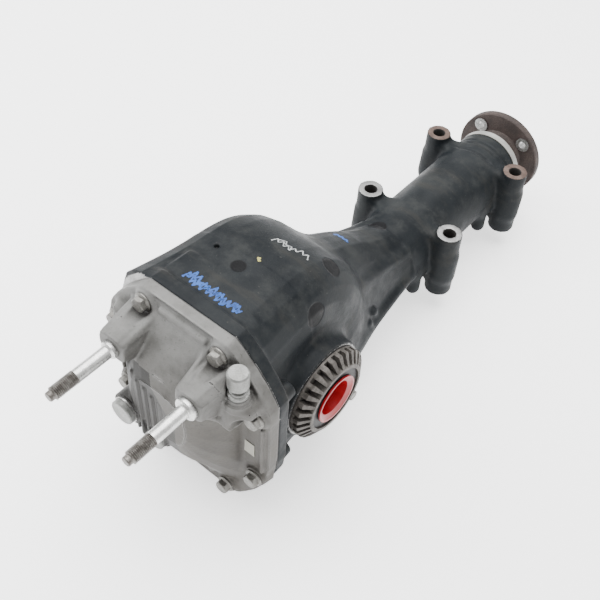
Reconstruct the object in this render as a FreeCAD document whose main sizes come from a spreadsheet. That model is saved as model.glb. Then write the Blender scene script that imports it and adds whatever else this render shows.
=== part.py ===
"""Rear-axle differential assembly: hypoid drive pinion and ring gear, bevel differential, long-nosed carrier.

Every size is written in the axle frame, in millimetres: X along the axle, Y towards the nose, Z up, with the
origin where the axle line crosses the centre plane.  Each sub-part's Placement then carries it to the row frame,
whose origin is on the floor under the middle of the assembly.
"""

import FreeCAD, Part
import math
import os
import re
import Sketcher
from FreeCAD import Placement, Rotation, Vector

# alias, value in mm, degrees or a count, what it is
DIMENSIONS = [
    ("axle_y", -126.5, "axle line's place along the row frame"),
    ("axle_z", 107.0, "axle line's height over the floor"),
    ("pinion_z", -42.0, "hypoid offset: height of the pinion axis"),
    # carrier housing
    ("gasket_y", -71.0, "joint between carrier and cover"),
    ("rim_top", 108.0, "top edge of the bolted rim"),
    ("rim_bottom", -98.0, "bottom edge of the bolted rim"),
    ("rim_top_half", 46.0, "half the rim's flat top edge"),
    ("rim_bottom_half", 54.0, "half the rim's flat bottom edge"),
    ("rim_side", 88.0, "half the rim's width"),
    ("rim_side_top", 60.0, "upper end of the rim's upright side"),
    ("rim_side_bottom", -24.0, "lower end of the rim's upright side"),
    ("rim_thick", 12.0, "carrier rim's thickness"),
    ("axle_boss_radius", 46.8, "cast boss round each side retainer"),
    ("axle_boss_base", 51.0, "the same boss where it leaves the chamber"),
    ("lock_angle", 48.0, "lock plate bolt, degrees below the axle, in line with a retainer slot"),
    ("lock_reach", 57.4, "lock plate bolt, distance from the axle"),
    ("cover_bolt_radius", 4.0, "M8 cover bolt"),
    ("vent_x", 64.4, "breather, across"),
    ("vent_y", -91.6, "breather, along"),
    ("plug_radius", 9.0, "fill and drain plugs' thread"),
    ("fill_x", -40.0, "fill plug, across"),
    ("fill_y", -118.0, "fill plug, sealing face"),
    ("fill_z", -14.0, "fill plug, height"),
    ("drain_x", -26.0, "drain plug, across"),
    ("drain_y", -100.0, "drain plug, sealing face"),
    ("drain_z", -60.0, "drain plug, height"),
    ("label_x", 67.4, "plain label, across"),
    ("label_y", -82.6, "plain label, rear face it is stuck to"),
    ("label_z", -4.4, "plain label, height"),
    ("axle_boss_face", 78.0, "face of each axle boss"),
    ("nose_radius", 40.0, "cast nose tube"),
    ("neck_radius", 37.0, "neck between the chamber and the nose"),
    ("nose_start", 196.0, "shoulder where the nose tube starts"),
    ("nose_groove", 364.0, "shoulder behind the end collar"),
    ("collar_radius", 38.5, "end collar of the nose"),
    ("nose_end", 401.0, "end face of the nose"),
    ("nose_bore", 24.0, "clearance bore round the pinion shaft"),
    ("boss_x", 50.0, "mounting bosses, half their spacing across"),
    ("boss_rear_y", 240.0, "rear pair of mounting bosses"),
    ("boss_front_y", 370.0, "front pair of mounting bosses"),
    ("boss_top", -5.0, "machined top face of the mounting bosses"),
    ("boss_bottom", -84.0, "foot of the mounting bosses"),
    ("boss_radius", 13.5, "mounting boss"),
    ("boss_hole_radius", 6.5, "hole for an M12 bolt"),
    # cover
    ("cover_rim", 11.0, "cover rim's thickness"),
    ("gasket_thick", 0.6, "sealant bead between carrier and cover"),
    ("stud_x", 41.5, "mounting studs, half their spacing"),
    ("stud_z", 70.5, "height of the mounting studs"),
    ("stud_pad", -121.0, "machined pads round the mounting studs"),
    ("stud_tip", -184.0, "end of the mounting studs"),
    ("stud_radius", 6.0, "M12 mounting stud"),
    # hypoid gear set
    ("ring_bolt_radius", 4.5, "ring gear bolt"),
    ("ring_bolt_circle", 55.5, "ring gear bolts, distance from the axle"),
    ("ring_teeth", 39, "teeth on the ring gear"),
    ("pinion_teeth", 10, "teeth on the drive pinion"),
    ("ring_outer", 80.0, "ring gear outer radius"),
    ("ring_inner", 54.0, "inner end of the ring gear teeth"),
    ("ring_bore", 46.0, "ring gear bore"),
    ("ring_back", -50.0, "ring gear mounting face"),
    ("ring_slope", 0.3, "ring gear pitch cone, drop for each mm outwards"),
    ("spiral_growth", 0.0105, "ring gear spiral angle, radians gained for each mm outwards"),
    ("pitch_offset", 26.6, "pinion pitch radius at the mean point"),
    ("ring_mean", 67.0, "ring gear mean radius"),
    ("hypoid_flank", 20.0, "pressure angle of the ring gear flanks"),
    ("mesh_gap", 0.28, "clearance kept round meshing hypoid teeth"),
    # differential gears
    ("side_teeth", 16, "teeth on each side gear"),
    ("mate_teeth", 10, "teeth on each pinion mate gear"),
    ("side_pitch_radius", 25.6, "side gear pitch radius at the large end"),
    ("case_outer", 37.0, "differential case round the gears"),
    ("case_inner", 32.5, "spherical seat inside the differential case"),
    ("cross_radius", 6.5, "pinion mate shaft"),
    ("side_back", 26.0, "back face of the side gears"),
    ("hub_bore", 17.0, "bore the side gears' hubs turn in"),
    # bearings and seals
    ("trunnion_radius", 22.0, "differential case trunnions"),
    ("side_cup_radius", 36.0, "side bearing cup"),
    ("side_bearing_in", 60.8, "inner face of the side bearings"),
    ("side_bearing_out", 76.8, "outer face of the side bearings"),
    ("retainer_radius", 42.0, "threaded part of the side retainers"),
    ("retainer_head", 44.0, "castellated head of the side retainers"),
    ("retainer_shoulder", 86.0, "outer edge of the retainers' castellated cone"),
    ("retainer_rim", 33.5, "inner edge of that cone"),
    ("retainer_face", 92.0, "outer face of the side retainers"),
    ("seal_face", 90.0, "outer face of the side seals"),
    ("seal_bore", 30.5, "seal seat in the side retainers"),
    ("seal_lip", 19.0, "side seal lip"),
    ("slot_count", 30, "slots round each side retainer"),
    ("plug_rim", 23.4, "rim of the transport plugs"),
    ("plug_face", 93.0, "outer face of the transport plugs"),
    # input end
    ("pinion_cup_radius", 36.0, "pinion rear bearing cup"),
    ("front_cup_radius", 31.0, "pinion front bearing cup"),
    ("front_shaft_radius", 15.5, "pinion shaft in the front tapered bearing"),
    ("pilot_radius", 31.0, "pilot bearing and front seal"),
    ("pilot_start", 368.0, "step at the end of the shaft bore"),
    ("pilot_shaft_radius", 15.0, "pinion shaft in the pilot bearing"),
    ("hub_start", 394.2, "inner end of the companion flange hub"),
    ("hub_radius", 22.0, "companion flange hub"),
    ("spline_radius", 13.0, "pinion spline"),
    ("nut_thread_radius", 10.0, "pinion thread"),
    ("bush_radius", 6.4, "threaded bushes pressed into the companion flange"),
    ("flange_hole_radius", 4.2, "thread in those bushes"),
    ("shaft_radius", 16.0, "pinion shaft in the tapered bearings"),
    ("nose_shaft_radius", 15.2, "pinion shaft along the nose"),
    ("flange_face", 437.0, "front face of the companion flange"),
    ("flange_thick", 9.0, "companion flange plate"),
    ("flange_radius", 50.5, "companion flange"),
    ("flange_pcd_radius", 39.0, "bolt circle radius of the companion flange"),
]

os.makedirs("parts", exist_ok=True)
doc = FreeCAD.newDocument("differential")
sheet = doc.addObject("Spreadsheet::Sheet", "Dims")
for row, (alias, amount, meaning) in enumerate(DIMENSIONS, 1):
    sheet.set("A%d" % row, alias)
    sheet.set("B%d" % row, str(amount))
    sheet.set("C%d" % row, meaning)
    sheet.setAlias("B%d" % row, alias)
doc.recompute()

ALIASES = {alias for alias, _, _ in DIMENSIONS}
SUBPARTS = []
ORIGIN = Vector(0, 0, 0)
X, Y, Z = Vector(1, 0, 0), Vector(0, 1, 0), Vector(0, 0, 1)


def dim(alias):
    """A size from the sheet, as a plain number."""
    return float(sheet.get(alias))


def formula(text):
    """Text with the sheet's aliases, as an expression that FreeCAD binds to the sheet."""
    return re.sub(r"[a-z_]+", lambda m: "Dims." + m.group() if m.group() in ALIASES else m.group(), str(text))


def amount_of(text):
    """What such a text comes to now."""
    found = sheet.evalExpression(formula(text))
    return float(getattr(found, "Value", found))


def keep(obj, label=None):
    """Marks an object as a sub-part, with the label that names its file."""
    obj.Label = label or obj.Name
    SUBPARTS.append(obj)
    return obj


def place(obj, at=("0", "0", "0"), rotation=Rotation()):
    """Puts an object at a point of the axle frame, bound to the sheet."""
    obj.Placement = Placement(ORIGIN, rotation)
    for axis, text, shift in zip("xyz", at, ("0", "axle_y", "axle_z")):
        obj.setExpression("Placement.Base." + axis, formula("%s + %s" % (shift, text)))
    return obj


# The body's own X axis is turned to the axis that a turned part needs.
ALONG_X = Rotation()
ALONG_MINUS_X = Rotation(Z, 180)
ALONG_Y = Rotation(Z, 90)
ALONG_MINUS_Y = Rotation(Z, -90)
ALONG_Z = Rotation(Y, -90)


def origin_plane(body, role):
    return next(f for f in body.Origin.OriginFeatures if f.Role == role)


def outline_sketch(body, name, role, points):
    """A closed sketch on one of the body's planes, each corner held by two constraints bound to the sheet."""
    sketch = body.newObject("Sketcher::SketchObject", name)
    sketch.AttachmentSupport = [(origin_plane(body, role), "")]
    sketch.MapMode = "FlatFace"
    corners = [Vector(amount_of(u), amount_of(v), 0) for u, v in points]
    count = len(corners)
    for i, corner in enumerate(corners):
        sketch.addGeometry(Part.LineSegment(corner, corners[(i + 1) % count]), False)
    sketch.addConstraint([Sketcher.Constraint("Coincident", i, 2, (i + 1) % count, 1) for i in range(count)])
    for i, pair in enumerate(points):
        for kind, text, now in zip(("DistanceX", "DistanceY"), pair, corners[i]):
            index = sketch.addConstraint(Sketcher.Constraint(kind, -1, 1, i, 1, now))
            sketch.setExpression("Constraints[%d]" % index, formula(text))
    return sketch


def turned(name, points, at=("0", "0", "0"), rotation=ALONG_X):
    """A body turned about its own X axis from an outline of (along, radius) pairs."""
    body = doc.addObject("PartDesign::Body", name)
    sketch = outline_sketch(body, name + "_profile", "XY_Plane", points)
    feature = body.newObject("PartDesign::Revolution", name + "_turn")
    feature.Profile = sketch
    feature.ReferenceAxis = (sketch, ["H_Axis"])
    feature.Angle = 360
    sketch.Visibility = False
    return place(body, at, rotation)


def ring(name, inner, outer, start, end, at=("0", "0", "0"), rotation=ALONG_X, chamfer="0.5"):
    """A turned ring with chamfered outer corners."""
    return turned(
        name,
        [
            (start, inner),
            (end, inner),
            (end, "%s - %s" % (outer, chamfer)),
            ("%s - %s" % (end, chamfer), outer),
            ("%s + %s" % (start, chamfer), outer),
            (start, "%s - %s" % (outer, chamfer)),
        ],
        at,
        rotation,
    )


def hexagon(across):
    """Six corners of a hexagon with that size across its flats, as texts."""
    size = "%s / sqrt(3)" % across
    return [("%s * cos(%d deg)" % (size, a), "%s * sin(%d deg)" % (size, a)) for a in range(0, 360, 60)]


def add_hexagon(body, name, across, start, depth, cut=False):
    """A hexagonal head, or a hexagonal socket, on a body turned about its own X axis."""
    sketch = outline_sketch(body, name + "_hexagon", "YZ_Plane", hexagon(across))
    sketch.setExpression("AttachmentOffset.Base.z", formula(start))
    feature = body.newObject("PartDesign::Pocket" if cut else "PartDesign::Pad", name + "_flats")
    feature.Profile = sketch
    feature.setExpression("Length", formula(depth))
    feature.Reversed = cut
    sketch.Visibility = False
    body.Tip = feature
    return body


def solid(name, shape, label=None):
    """A sub-part whose shape comes from Part's own functions, already in the axle frame."""
    moved = shape.copy()
    matrix = moved.Placement.toMatrix()
    moved.Placement = Placement()
    moved.transformShape(matrix, True)
    feature = doc.addObject("Part::Feature", name)
    feature.Shape = moved
    place(feature)
    return keep(feature, label)


def primitive(kind, name, sizes, at, rotation=Rotation()):
    """A Part primitive whose sizes and place in the axle frame are bound to the sheet."""
    obj = doc.addObject("Part::" + kind, name)
    for key, text in sizes.items():
        obj.setExpression(key, formula(text))
    obj.Placement = Placement(ORIGIN, rotation)
    for axis, text in zip("xyz", at):
        obj.setExpression("Placement.Base." + axis, formula(text))
    return obj


TO_X = Rotation(Y, 90)
TO_Y = Rotation(X, -90)


def cylinder(name, radius, height, at, rotation=Rotation()):
    return primitive("Cylinder", name, {"Radius": radius, "Height": height}, at, rotation)


def cone(name, radius_start, radius_end, height, at, rotation=Rotation()):
    sizes = {"Radius1": radius_start, "Radius2": radius_end, "Height": height}
    return primitive("Cone", name, sizes, at, rotation)


def box(name, length, width, height, at, rotation=Rotation()):
    return primitive("Box", name, {"Length": length, "Width": width, "Height": height}, at, rotation)


def fuse(name, shapes):
    obj = doc.addObject("Part::MultiFuse", name)
    obj.Shapes = shapes
    return obj


def cut(name, base, tool):
    obj = doc.addObject("Part::Cut", name)
    obj.Base = base
    obj.Tool = tool
    return obj


def helper(name, shape):
    """A shape of the axle frame that only serves a boolean."""
    feature = doc.addObject("Part::Feature", name)
    feature.Shape = shape
    return feature


def polygon_wire(points):
    return Part.makePolygon(list(points) + [points[0]])


def mirrored(points):
    """Corners on the +X side, then the same corners on the -X side, in order round the outline."""
    return points + [(-x, z) for x, z in reversed(points)]


# ---------------------------------------------------------------- castings


def rim_corners():
    """The bolted rim's outline, seen along Y, on the +X side from top to bottom, then on the -X side."""
    side, top, bottom = dim("rim_side"), dim("rim_top"), dim("rim_bottom")
    return mirrored(
        [
            (dim("rim_top_half"), top),
            (dim("rim_top_half") + 26, top - 24),
            (side - 1, dim("rim_side_top")),
            (side, dim("rim_side_bottom")),
            (side - 8, dim("rim_side_bottom") - 30),
            (dim("rim_bottom_half"), bottom + 8),
            (dim("rim_bottom_half") - 16, bottom),
        ]
    )


def rim_plate(start, thick, ease=9.0):
    """A plate with the rim's outline, its upright edges rounded."""
    corners = [Vector(x, start, z) for x, z in rim_corners()]
    plate = Part.Face(polygon_wire(corners)).extrude(Vector(0, thick, 0))
    upright = [e for e in plate.Edges if abs(e.tangentAt(e.FirstParameter).y) > 0.99]
    return plate.makeFillet(ease, upright)


def oval(y, right_half, left_share=1.0):
    """A smooth closed section across the nose axis, through points given from top to bottom on the +X side."""
    left = [(-x * left_share, z) for x, z in reversed(right_half) if x > 0.01]
    curve = Part.BSplineCurve()
    curve.interpolate(Points=[Vector(x, y, z) for x, z in right_half + left], PeriodicFlag=True)
    return Part.Wire(curve.toShape())


def loft(wires, ruled=False):
    return Part.makeLoft(wires, True, ruled)


def lathe(points):
    """A solid turned about the axle from (x, radius) pairs; the first and last lie on the axle."""
    wire = polygon_wire([Vector(x, 0, r) for x, r in points])
    return Part.Face(wire).revolve(ORIGIN, X, 360)


def dome_profile(grow=0.0):
    """The chamber's outline beside the axle, wider on the ring gear's side, as (x, radius)."""
    points = [(-73, 70), (-70, 85), (-62, 95), (-50, 101), (-34, 103.5), (20, 103.5), (36, 101), (48, 94),
              (57, 83), (61, 70)]
    return [(x + math.copysign(grow, x), r + grow) for x, r in points]


def chamber_shell(grow=0.0):
    """The gear chamber: a barrel round the axle, run back to the rim plane."""
    profile = dome_profile(grow)
    barrel = lathe([(profile[0][0], 0)] + profile + [(profile[-1][0], 0)])
    front = barrel.common(Part.makeBox(300, 200, 300, Vector(-150, 0, -150)))
    upper = [(x, r) for x, r in profile]
    lower = [(x, -r) for x, r in reversed(profile)]
    section = [Vector(x, 0, z) for x, z in upper + lower]
    widened = [Vector(x * 1.12, dim("gasket_y") + 2, z * 1.0) for x, z in upper + lower]
    return front.fuse(loft([polygon_wire(widened), polygon_wire(section)], True))


def neck_casting():
    """The neck: a tall smooth wedge that shrinks to the nose tube."""
    low = dim("pinion_z")
    r = dim("neck_radius")
    round_end = [(r * math.sin(a), low + r * math.cos(a))
                 for a in [math.radians(t) for t in range(0, 181, 30)]]
    stations = [
        (20, [(0, 76), (26, 70), (44, 45), (54, 5), (60, low), (56, -68), (38, -88), (0, -98)]),
        (80, [(0, 67), (19, 62), (38, 38), (51, 4), (59, low), (55, -66), (37, -84), (0, -94)]),
        (122, [(0, 45), (16, 41), (29, 22), (38, -6), (46, low), (43, -62), (30, -78), (0, -87)]),
        (162, [(0, 14), (14, 11), (25, -3), (34, -20), (39, low), (36, -60), (24, -74), (0, -81)]),
    ]
    wires = [oval(y, points) for y, points in stations]
    wires.append(oval(dim("nose_start") + 5, round_end))
    return loft(wires)


LOCK_Y = "lock_reach * cos(lock_angle * 1 deg)"
LOCK_Z = "-lock_reach * sin(lock_angle * 1 deg)"


def carrier_outside():
    """Everything that adds metal to the carrier casting."""
    pieces = [
        helper("rim_casting", rim_plate(dim("gasket_y"), dim("rim_thick"))),
        helper("chamber", chamber_shell()),
        helper("neck", neck_casting()),
        cylinder("nose_tube", "nose_radius", "nose_groove - nose_start", ("0", "nose_start", "pinion_z"),
                 TO_Y),
        cylinder("end_collar", "collar_radius", "nose_end - nose_groove + 4",
                 ("0", "nose_groove - 4", "pinion_z"), TO_Y),
        box("belly_pad", "56", "56", "12", ("-28", "-28", "-axle_z")),
        box("nose_keel", "10", "150", "12", ("-5", "204", "pinion_z - nose_radius - 4")),
        cone("axle_boss_right", "axle_boss_base", "axle_boss_radius", "axle_boss_face - 40",
             ("40", "0", "0"), TO_X),
        cone("axle_boss_left", "axle_boss_base", "axle_boss_radius", "axle_boss_face - 40", ("-40", "0", "0"),
             Rotation(Y, -90)),
    ]
    for side, word in ((1, "right"), (-1, "left")):
        pieces.append(cylinder("lock_lug_" + word, "8.5", "14",
                               ("axle_boss_face - 14" if side > 0 else "-axle_boss_face", LOCK_Y,
                                LOCK_Z), TO_X))
        for y, where in (("boss_rear_y", "rear"), ("boss_front_y", "front")):
            label = "%s_%s" % (where, word)
            pieces.append(cylinder("mounting_boss_" + label, "boss_radius", "boss_top - boss_bottom",
                                   ("%d * boss_x" % side, y, "boss_bottom")))
            pieces.append(box("boss_web_" + label, "boss_x", "15", "50",
                              ("0" if side > 0 else "-boss_x", y + " - 7.5", "pinion_z - 38")))
            pieces.append(box("boss_shoulder_" + label, "boss_x - 22", "22", "24",
                              ("22" if side > 0 else "-boss_x", y + " - 11", "pinion_z + 2")))
    return fuse("carrier_casting", pieces)


def carrier_openings():
    """Everything that is cored, bored or drilled out of the carrier casting."""
    gear_room = lathe([(-66, 0), (-66, 66), (-56, 70), (-53, 83.5), (-12, 83.5), (20, 74), (40, 60),
                       (50, 40), (50, 0)])
    mouth = [(48, 84), (57, 66), (60, 40), (60, -24), (55, -52), (42, -78)]
    mouth_wires = []
    for y, shrink in ((dim("gasket_y") - 1, 1.0), (-10, 0.86)):
        around = [(x * (shrink if x > 0 else 1.16), z) for x, z in mirrored(mouth)]
        mouth_wires.append(polygon_wire([Vector(x, y, z * 0.98) for x, z in around]))
    tools = [
        helper("gear_room", gear_room),
        helper("mouth", loft(mouth_wires, True)),
        cylinder("axle_bore", "retainer_radius + 0.04", "4 * axle_boss_face",
                 ("-2 * axle_boss_face", "0", "0"), TO_X),
        cylinder("pinion_room", "37.5", "79", ("0", "0", "pinion_z"), TO_Y),
        cylinder("rear_cup_bore", "pinion_cup_radius + 0.02", "23", ("0", "79", "pinion_z"), TO_Y),
        cylinder("neck_bore", "27", "53", ("0", "100", "pinion_z"), TO_Y),
        cylinder("front_cup_bore", "front_cup_radius + 0.02", "20.5", ("0", "150", "pinion_z"), TO_Y),
        cylinder("shaft_bore", "nose_bore", "210", ("0", "160", "pinion_z"), TO_Y),
        cylinder("pilot_bore", "pilot_radius + 0.02", "60", ("0", "pilot_start", "pinion_z"), TO_Y),
    ]
    for side in (1, -1):
        for y in ("boss_rear_y", "boss_front_y"):
            tools.append(cylinder("mounting_hole", "boss_hole_radius", "3 * axle_z",
                                  ("%d * boss_x" % side, y, "-2 * axle_z")))
        tools.append(cylinder("lock_thread", "3.02", "14",
                              ("axle_boss_face - 12" if side > 0 else "-axle_boss_face - 2", LOCK_Y,
                               LOCK_Z), TO_X))
        tools.append(cylinder("boss_spot_face", "retainer_head + 1.6", "20",
                              ("axle_boss_face" if side > 0 else "-axle_boss_face - 20", "0", "0"), TO_X))
    for x, z in cover_bolt_places():
        tools.append(cylinder("cover_thread", "cover_bolt_radius + 0.02", "21",
                              (str(x), "gasket_y - 1", str(z)), TO_Y))
    return fuse("carrier_openings", tools)


def cover_bolt_places():
    """The cover bolts, as (x, z): two at the top, two down each side, two at the bottom."""
    return mirrored([(40, 97), (77, 50), (76, -37), (43, -85)])


def block(y0, size0, y1, size1, x=0.0, z0=0.0, z1=None, corner=8.0):
    """A rounded block that tapers from one size (half width, half height) to another along Y."""
    wires = []
    for y, (half, tall), z in ((y0, size0, z0), (y1, size1, z0 if z1 is None else z1)):
        c = min(corner, half - 0.5, tall - 0.5)
        around = []
        for sx, sz in ((1, 1), (-1, 1), (-1, -1), (1, -1)):
            eased = [(half, tall - c), (half - 0.3 * c, tall - 0.3 * c), (half - c, tall)]
            if sx * sz < 0:
                eased.reverse()
            around += [Vector(x + sx * u, y, z + sz * v) for u, v in eased]
        wires.append(polygon_wire(around))
    return loft(wires, True)


# The cover's domed middle: outlines (x, z) on the +X side at stations along Y.
DOME_STATIONS = [
    (-74.5, [(0, 100), (48, 97), (62, 56), (62, -26), (55, -66), (40, -83), (0, -88)]),
    (-84, [(0, 99), (46, 96), (60, 56), (60, -24), (54, -62), (38, -79), (0, -83)]),
    (-94, [(0, 87), (40, 84), (55, 52), (56, -10), (49, -50), (32, -62), (0, -65)]),
    (-104, [(0, 73), (32, 70), (46, 50), (50, 0), (43, -34), (28, -42), (0, -44)]),
    (-113, [(0, 59), (26, 57), (36, 44), (39, 8), (33, -18), (20, -28), (0, -30)]),
    (-117.5, [(0, 50), (20, 48), (29, 38), (31, 14), (26, -4), (14, -10), (0, -12)]),
]


def dome(stations):
    """A solid through outlines along Y, the same on both sides of the centre plane."""
    return loft([polygon_wire([Vector(x, y, z) for x, z in mirrored(outline)]) for y, outline in stations],
                True)


def cover_hollow(front):
    """The space inside the dome, for the ring gear and the oil."""
    inside = []
    for y, outline in DOME_STATIONS:
        inside.append((y + 5.5, [(x * 0.9, 4 + (z - 4) * 0.9) for x, z in outline]))
    return dome([(front + 1, inside[0][1])] + inside[1:])


def cover_solid():
    """The rear cover: rim, domed middle, stud arms, vent boss, plug bosses and ribs, hollowed from the front."""
    front = dim("gasket_y") - dim("gasket_thick")
    rear = front - dim("cover_rim")
    stud_x, stud_z, pad = dim("stud_x"), dim("stud_z"), dim("stud_pad")
    body = rim_plate(rear, front - rear)
    adds = [dome(DOME_STATIONS)]
    for side in (1, -1):
        adds.append(block(front - 4, (24, 25), pad, (15, 15), x=side * stud_x, z0=stud_z + 6, z1=stud_z,
                          corner=10))
        adds.append(block(rear + 1, (1.8, 32), rear - 4, (1.2, 28), x=side * 81.5, z0=6, corner=1))
    for i in range(5):
        adds.append(block(-90, (1.6, 34 - 2 * i), -119.5 + 1.2 * abs(i - 2), (1.1, 22 - 2 * i), x=-30 + 9 * i,
                          z0=18 - 3 * i, z1=22 - 3 * i, corner=1))
    vent_x, vent_y = dim("vent_x"), dim("vent_y")
    adds.append(Part.makeCone(15, 11.5, 38, Vector(vent_x - 1, vent_y, 40), Z))
    cuts = [cover_hollow(front)]
    for plug in ("fill", "drain"):
        x, y, z = dim(plug + "_x"), dim(plug + "_y"), dim(plug + "_z")
        adds.append(Part.makeCylinder(16, 16, Vector(x, y, z), Y))
        cuts.append(Part.makeCylinder(dim("plug_radius") + 0.02, 26, Vector(x, y - 3, z), Y))
        cuts.append(Part.makeCylinder(dim("plug_radius") + 4.8, 30, Vector(x, y, z), -Y))
    for x, z in cover_bolt_places():
        adds.append(Part.makeCone(11.5, 9.5, 7.4, Vector(x, rear + 4, z), -Y))
    for side in (1, -1):
        cuts.append(Part.makeCylinder(dim("stud_radius") - 0.33, 24, Vector(side * stud_x, pad - 1, stud_z),
                                      Y))
    cuts.append(Part.makeCylinder(4.02, 26, Vector(vent_x, vent_y, 56), Z))
    cuts.append(Part.makeCylinder(8.75, 40, Vector(vent_x, vent_y, 78), Z))
    for x, z in cover_bolt_places():
        cuts.append(Part.makeCylinder(dim("cover_bolt_radius") + 0.4, 30, Vector(x, rear - 8, z), Y))
        cuts.append(Part.makeCylinder(10.2, 30, Vector(x, rear - 33.4, z), Y))
    return body.multiFuse(adds).cut(Part.makeCompound(cuts))


keep(place(cut("carrier_housing", carrier_outside(), carrier_openings())))
solid("rear_cover", cover_solid())
gasket = rim_plate(dim("gasket_y") - dim("gasket_thick"), dim("gasket_thick"))
inner_edge = block(dim("gasket_y") - 2, (66, 80), dim("gasket_y") + 2, (66, 80), z0=4, corner=26)
gasket_holes = [Part.makeCylinder(dim("cover_bolt_radius") + 0.4, 6, Vector(x, dim("gasket_y") - 3, z), Y)
                for x, z in cover_bolt_places()]
solid("cover_gasket", gasket.cut(Part.makeCompound([inner_edge] + gasket_holes)))


# ---------------------------------------------------------------- fasteners


def hex_bolt(across_flats, head, washer, shank, length, tip=1.0):
    """A flange bolt along +X: its head behind x = 0, its shank in front of it."""
    corner = across_flats / math.sqrt(3)
    ring_points = [Vector(0, corner * math.cos(math.radians(a)), corner * math.sin(math.radians(a)))
                   for a in range(0, 360, 60)]
    prism = Part.Face(polygon_wire(ring_points)).extrude(Vector(-head, 0, 0))
    eased = lathe([(0, 0), (0, corner + 1), (-head + 1.6, corner + 0.1), (-head, across_flats / 2 - 0.4),
                   (-head, 0)])
    collar = lathe([(0, 0), (0, washer), (-1.2, washer), (-2.6, across_flats / 2), (-2.6, 0)])
    stem = lathe([(-1, 0), (-1, shank), (length - tip, shank), (length, shank - tip), (length, 0)])
    return prism.common(eased).multiFuse([collar, stem])


def set_of(name, pattern, places):
    """One sub-part of equal solids, put at each place."""
    made = []
    for where in places:
        piece = pattern.copy()
        piece.Placement = where
        made.append(piece)
    return solid(name, Part.makeCompound(made))


seat = dim("gasket_y") - dim("gasket_thick") - dim("cover_rim") - 3.4
cover_bolt = hex_bolt(12, 7.2, 8.4, dim("cover_bolt_radius"), 27)
set_of("cover_bolts", cover_bolt, [Placement(Vector(x, seat, z), ALONG_Y) for x, z in cover_bolt_places()])


def stud(name, side, collar):
    """A mounting stud along -Y with a collar against the cover, a plain shank and a threaded end."""
    length = "(stud_pad - stud_tip)"
    thread = "%s * 0.62" % length
    profile = [
        ("-20", "0"),
        ("-20", "stud_radius - 1"),
        ("-19", "stud_radius - 0.35"),
        ("0", "stud_radius - 0.35"),
        ("0.02", "stud_radius + %s" % collar),
        ("4.0", "stud_radius + %s" % collar),
        ("5.0", "stud_radius + %s - 1" % collar),
        ("5.0", "stud_radius"),
        (thread + " - 2", "stud_radius"),
        (thread, "stud_radius - 0.35"),
        (length + " - 4.5", "stud_radius - 0.35"),
        (length + " - 3.5", "stud_radius - 1.5"),
        (length, "stud_radius - 1.8"),
        (length, "0"),
    ]
    return keep(turned(name, profile, ("%d * stud_x" % side, "stud_pad", "stud_z"), ALONG_MINUS_Y))


stud("stud_left", -1, "2.0")
stud("stud_right", 1, "4.0")

breather = ("vent_x", "vent_y", "78")
keep(turned("breather_stem", [("-18", "2"), ("-18", "4"), ("0", "4"), ("0", "8.6"), ("3", "8.6"),
                              ("3.6", "7.2"),
                              ("6", "7.2"), ("6.6", "5.6"), ("9", "5.6"), ("9", "4"), ("19", "4"), ("19",
                                                                                                    "2")],
            breather, ALONG_Z))
keep(turned("breather_cap", [("10", "4.05"), ("10", "7.6"), ("11.5", "8.6"), ("24.6", "8.6"), ("26", "7.4"),
                             ("26", "0"), ("22", "0"), ("22", "4.05")], breather, ALONG_Z))


def level_plug(name, at):
    """A threaded oil plug with a hexagonal recess, and the soft washer under its head."""
    plug = turned(name, [("-15", "0"), ("-15", "plug_radius - 1"), ("-14", "plug_radius"),
                         ("1.6", "plug_radius"),
                         ("1.6", "plug_radius + 3.2"), ("6", "plug_radius + 3.2"), ("7", "plug_radius + 2.2"),
                         ("7", "0")], at, ALONG_MINUS_Y)
    keep(add_hexagon(plug, name, "10", "7", "7", cut=True))
    keep(turned(name + "_gasket", [("0.05", "plug_radius + 0.05"), ("0.05", "plug_radius + 4"),
                                   ("1.55", "plug_radius + 4"), ("1.55",
                                                                 "plug_radius + 0.05")], at, ALONG_MINUS_Y))


level_plug("fill_plug", ("fill_x", "fill_y", "fill_z"))
level_plug("drain_plug", ("drain_x", "drain_y", "drain_z"))
solid("part_label", Part.makeBox(11, 0.3, 16, Vector(dim("label_x") - 5.5, dim("label_y") - 0.3,
                                                     dim("label_z") - 8)))

# ---------------------------------------------------------------- bearings and seals


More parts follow.
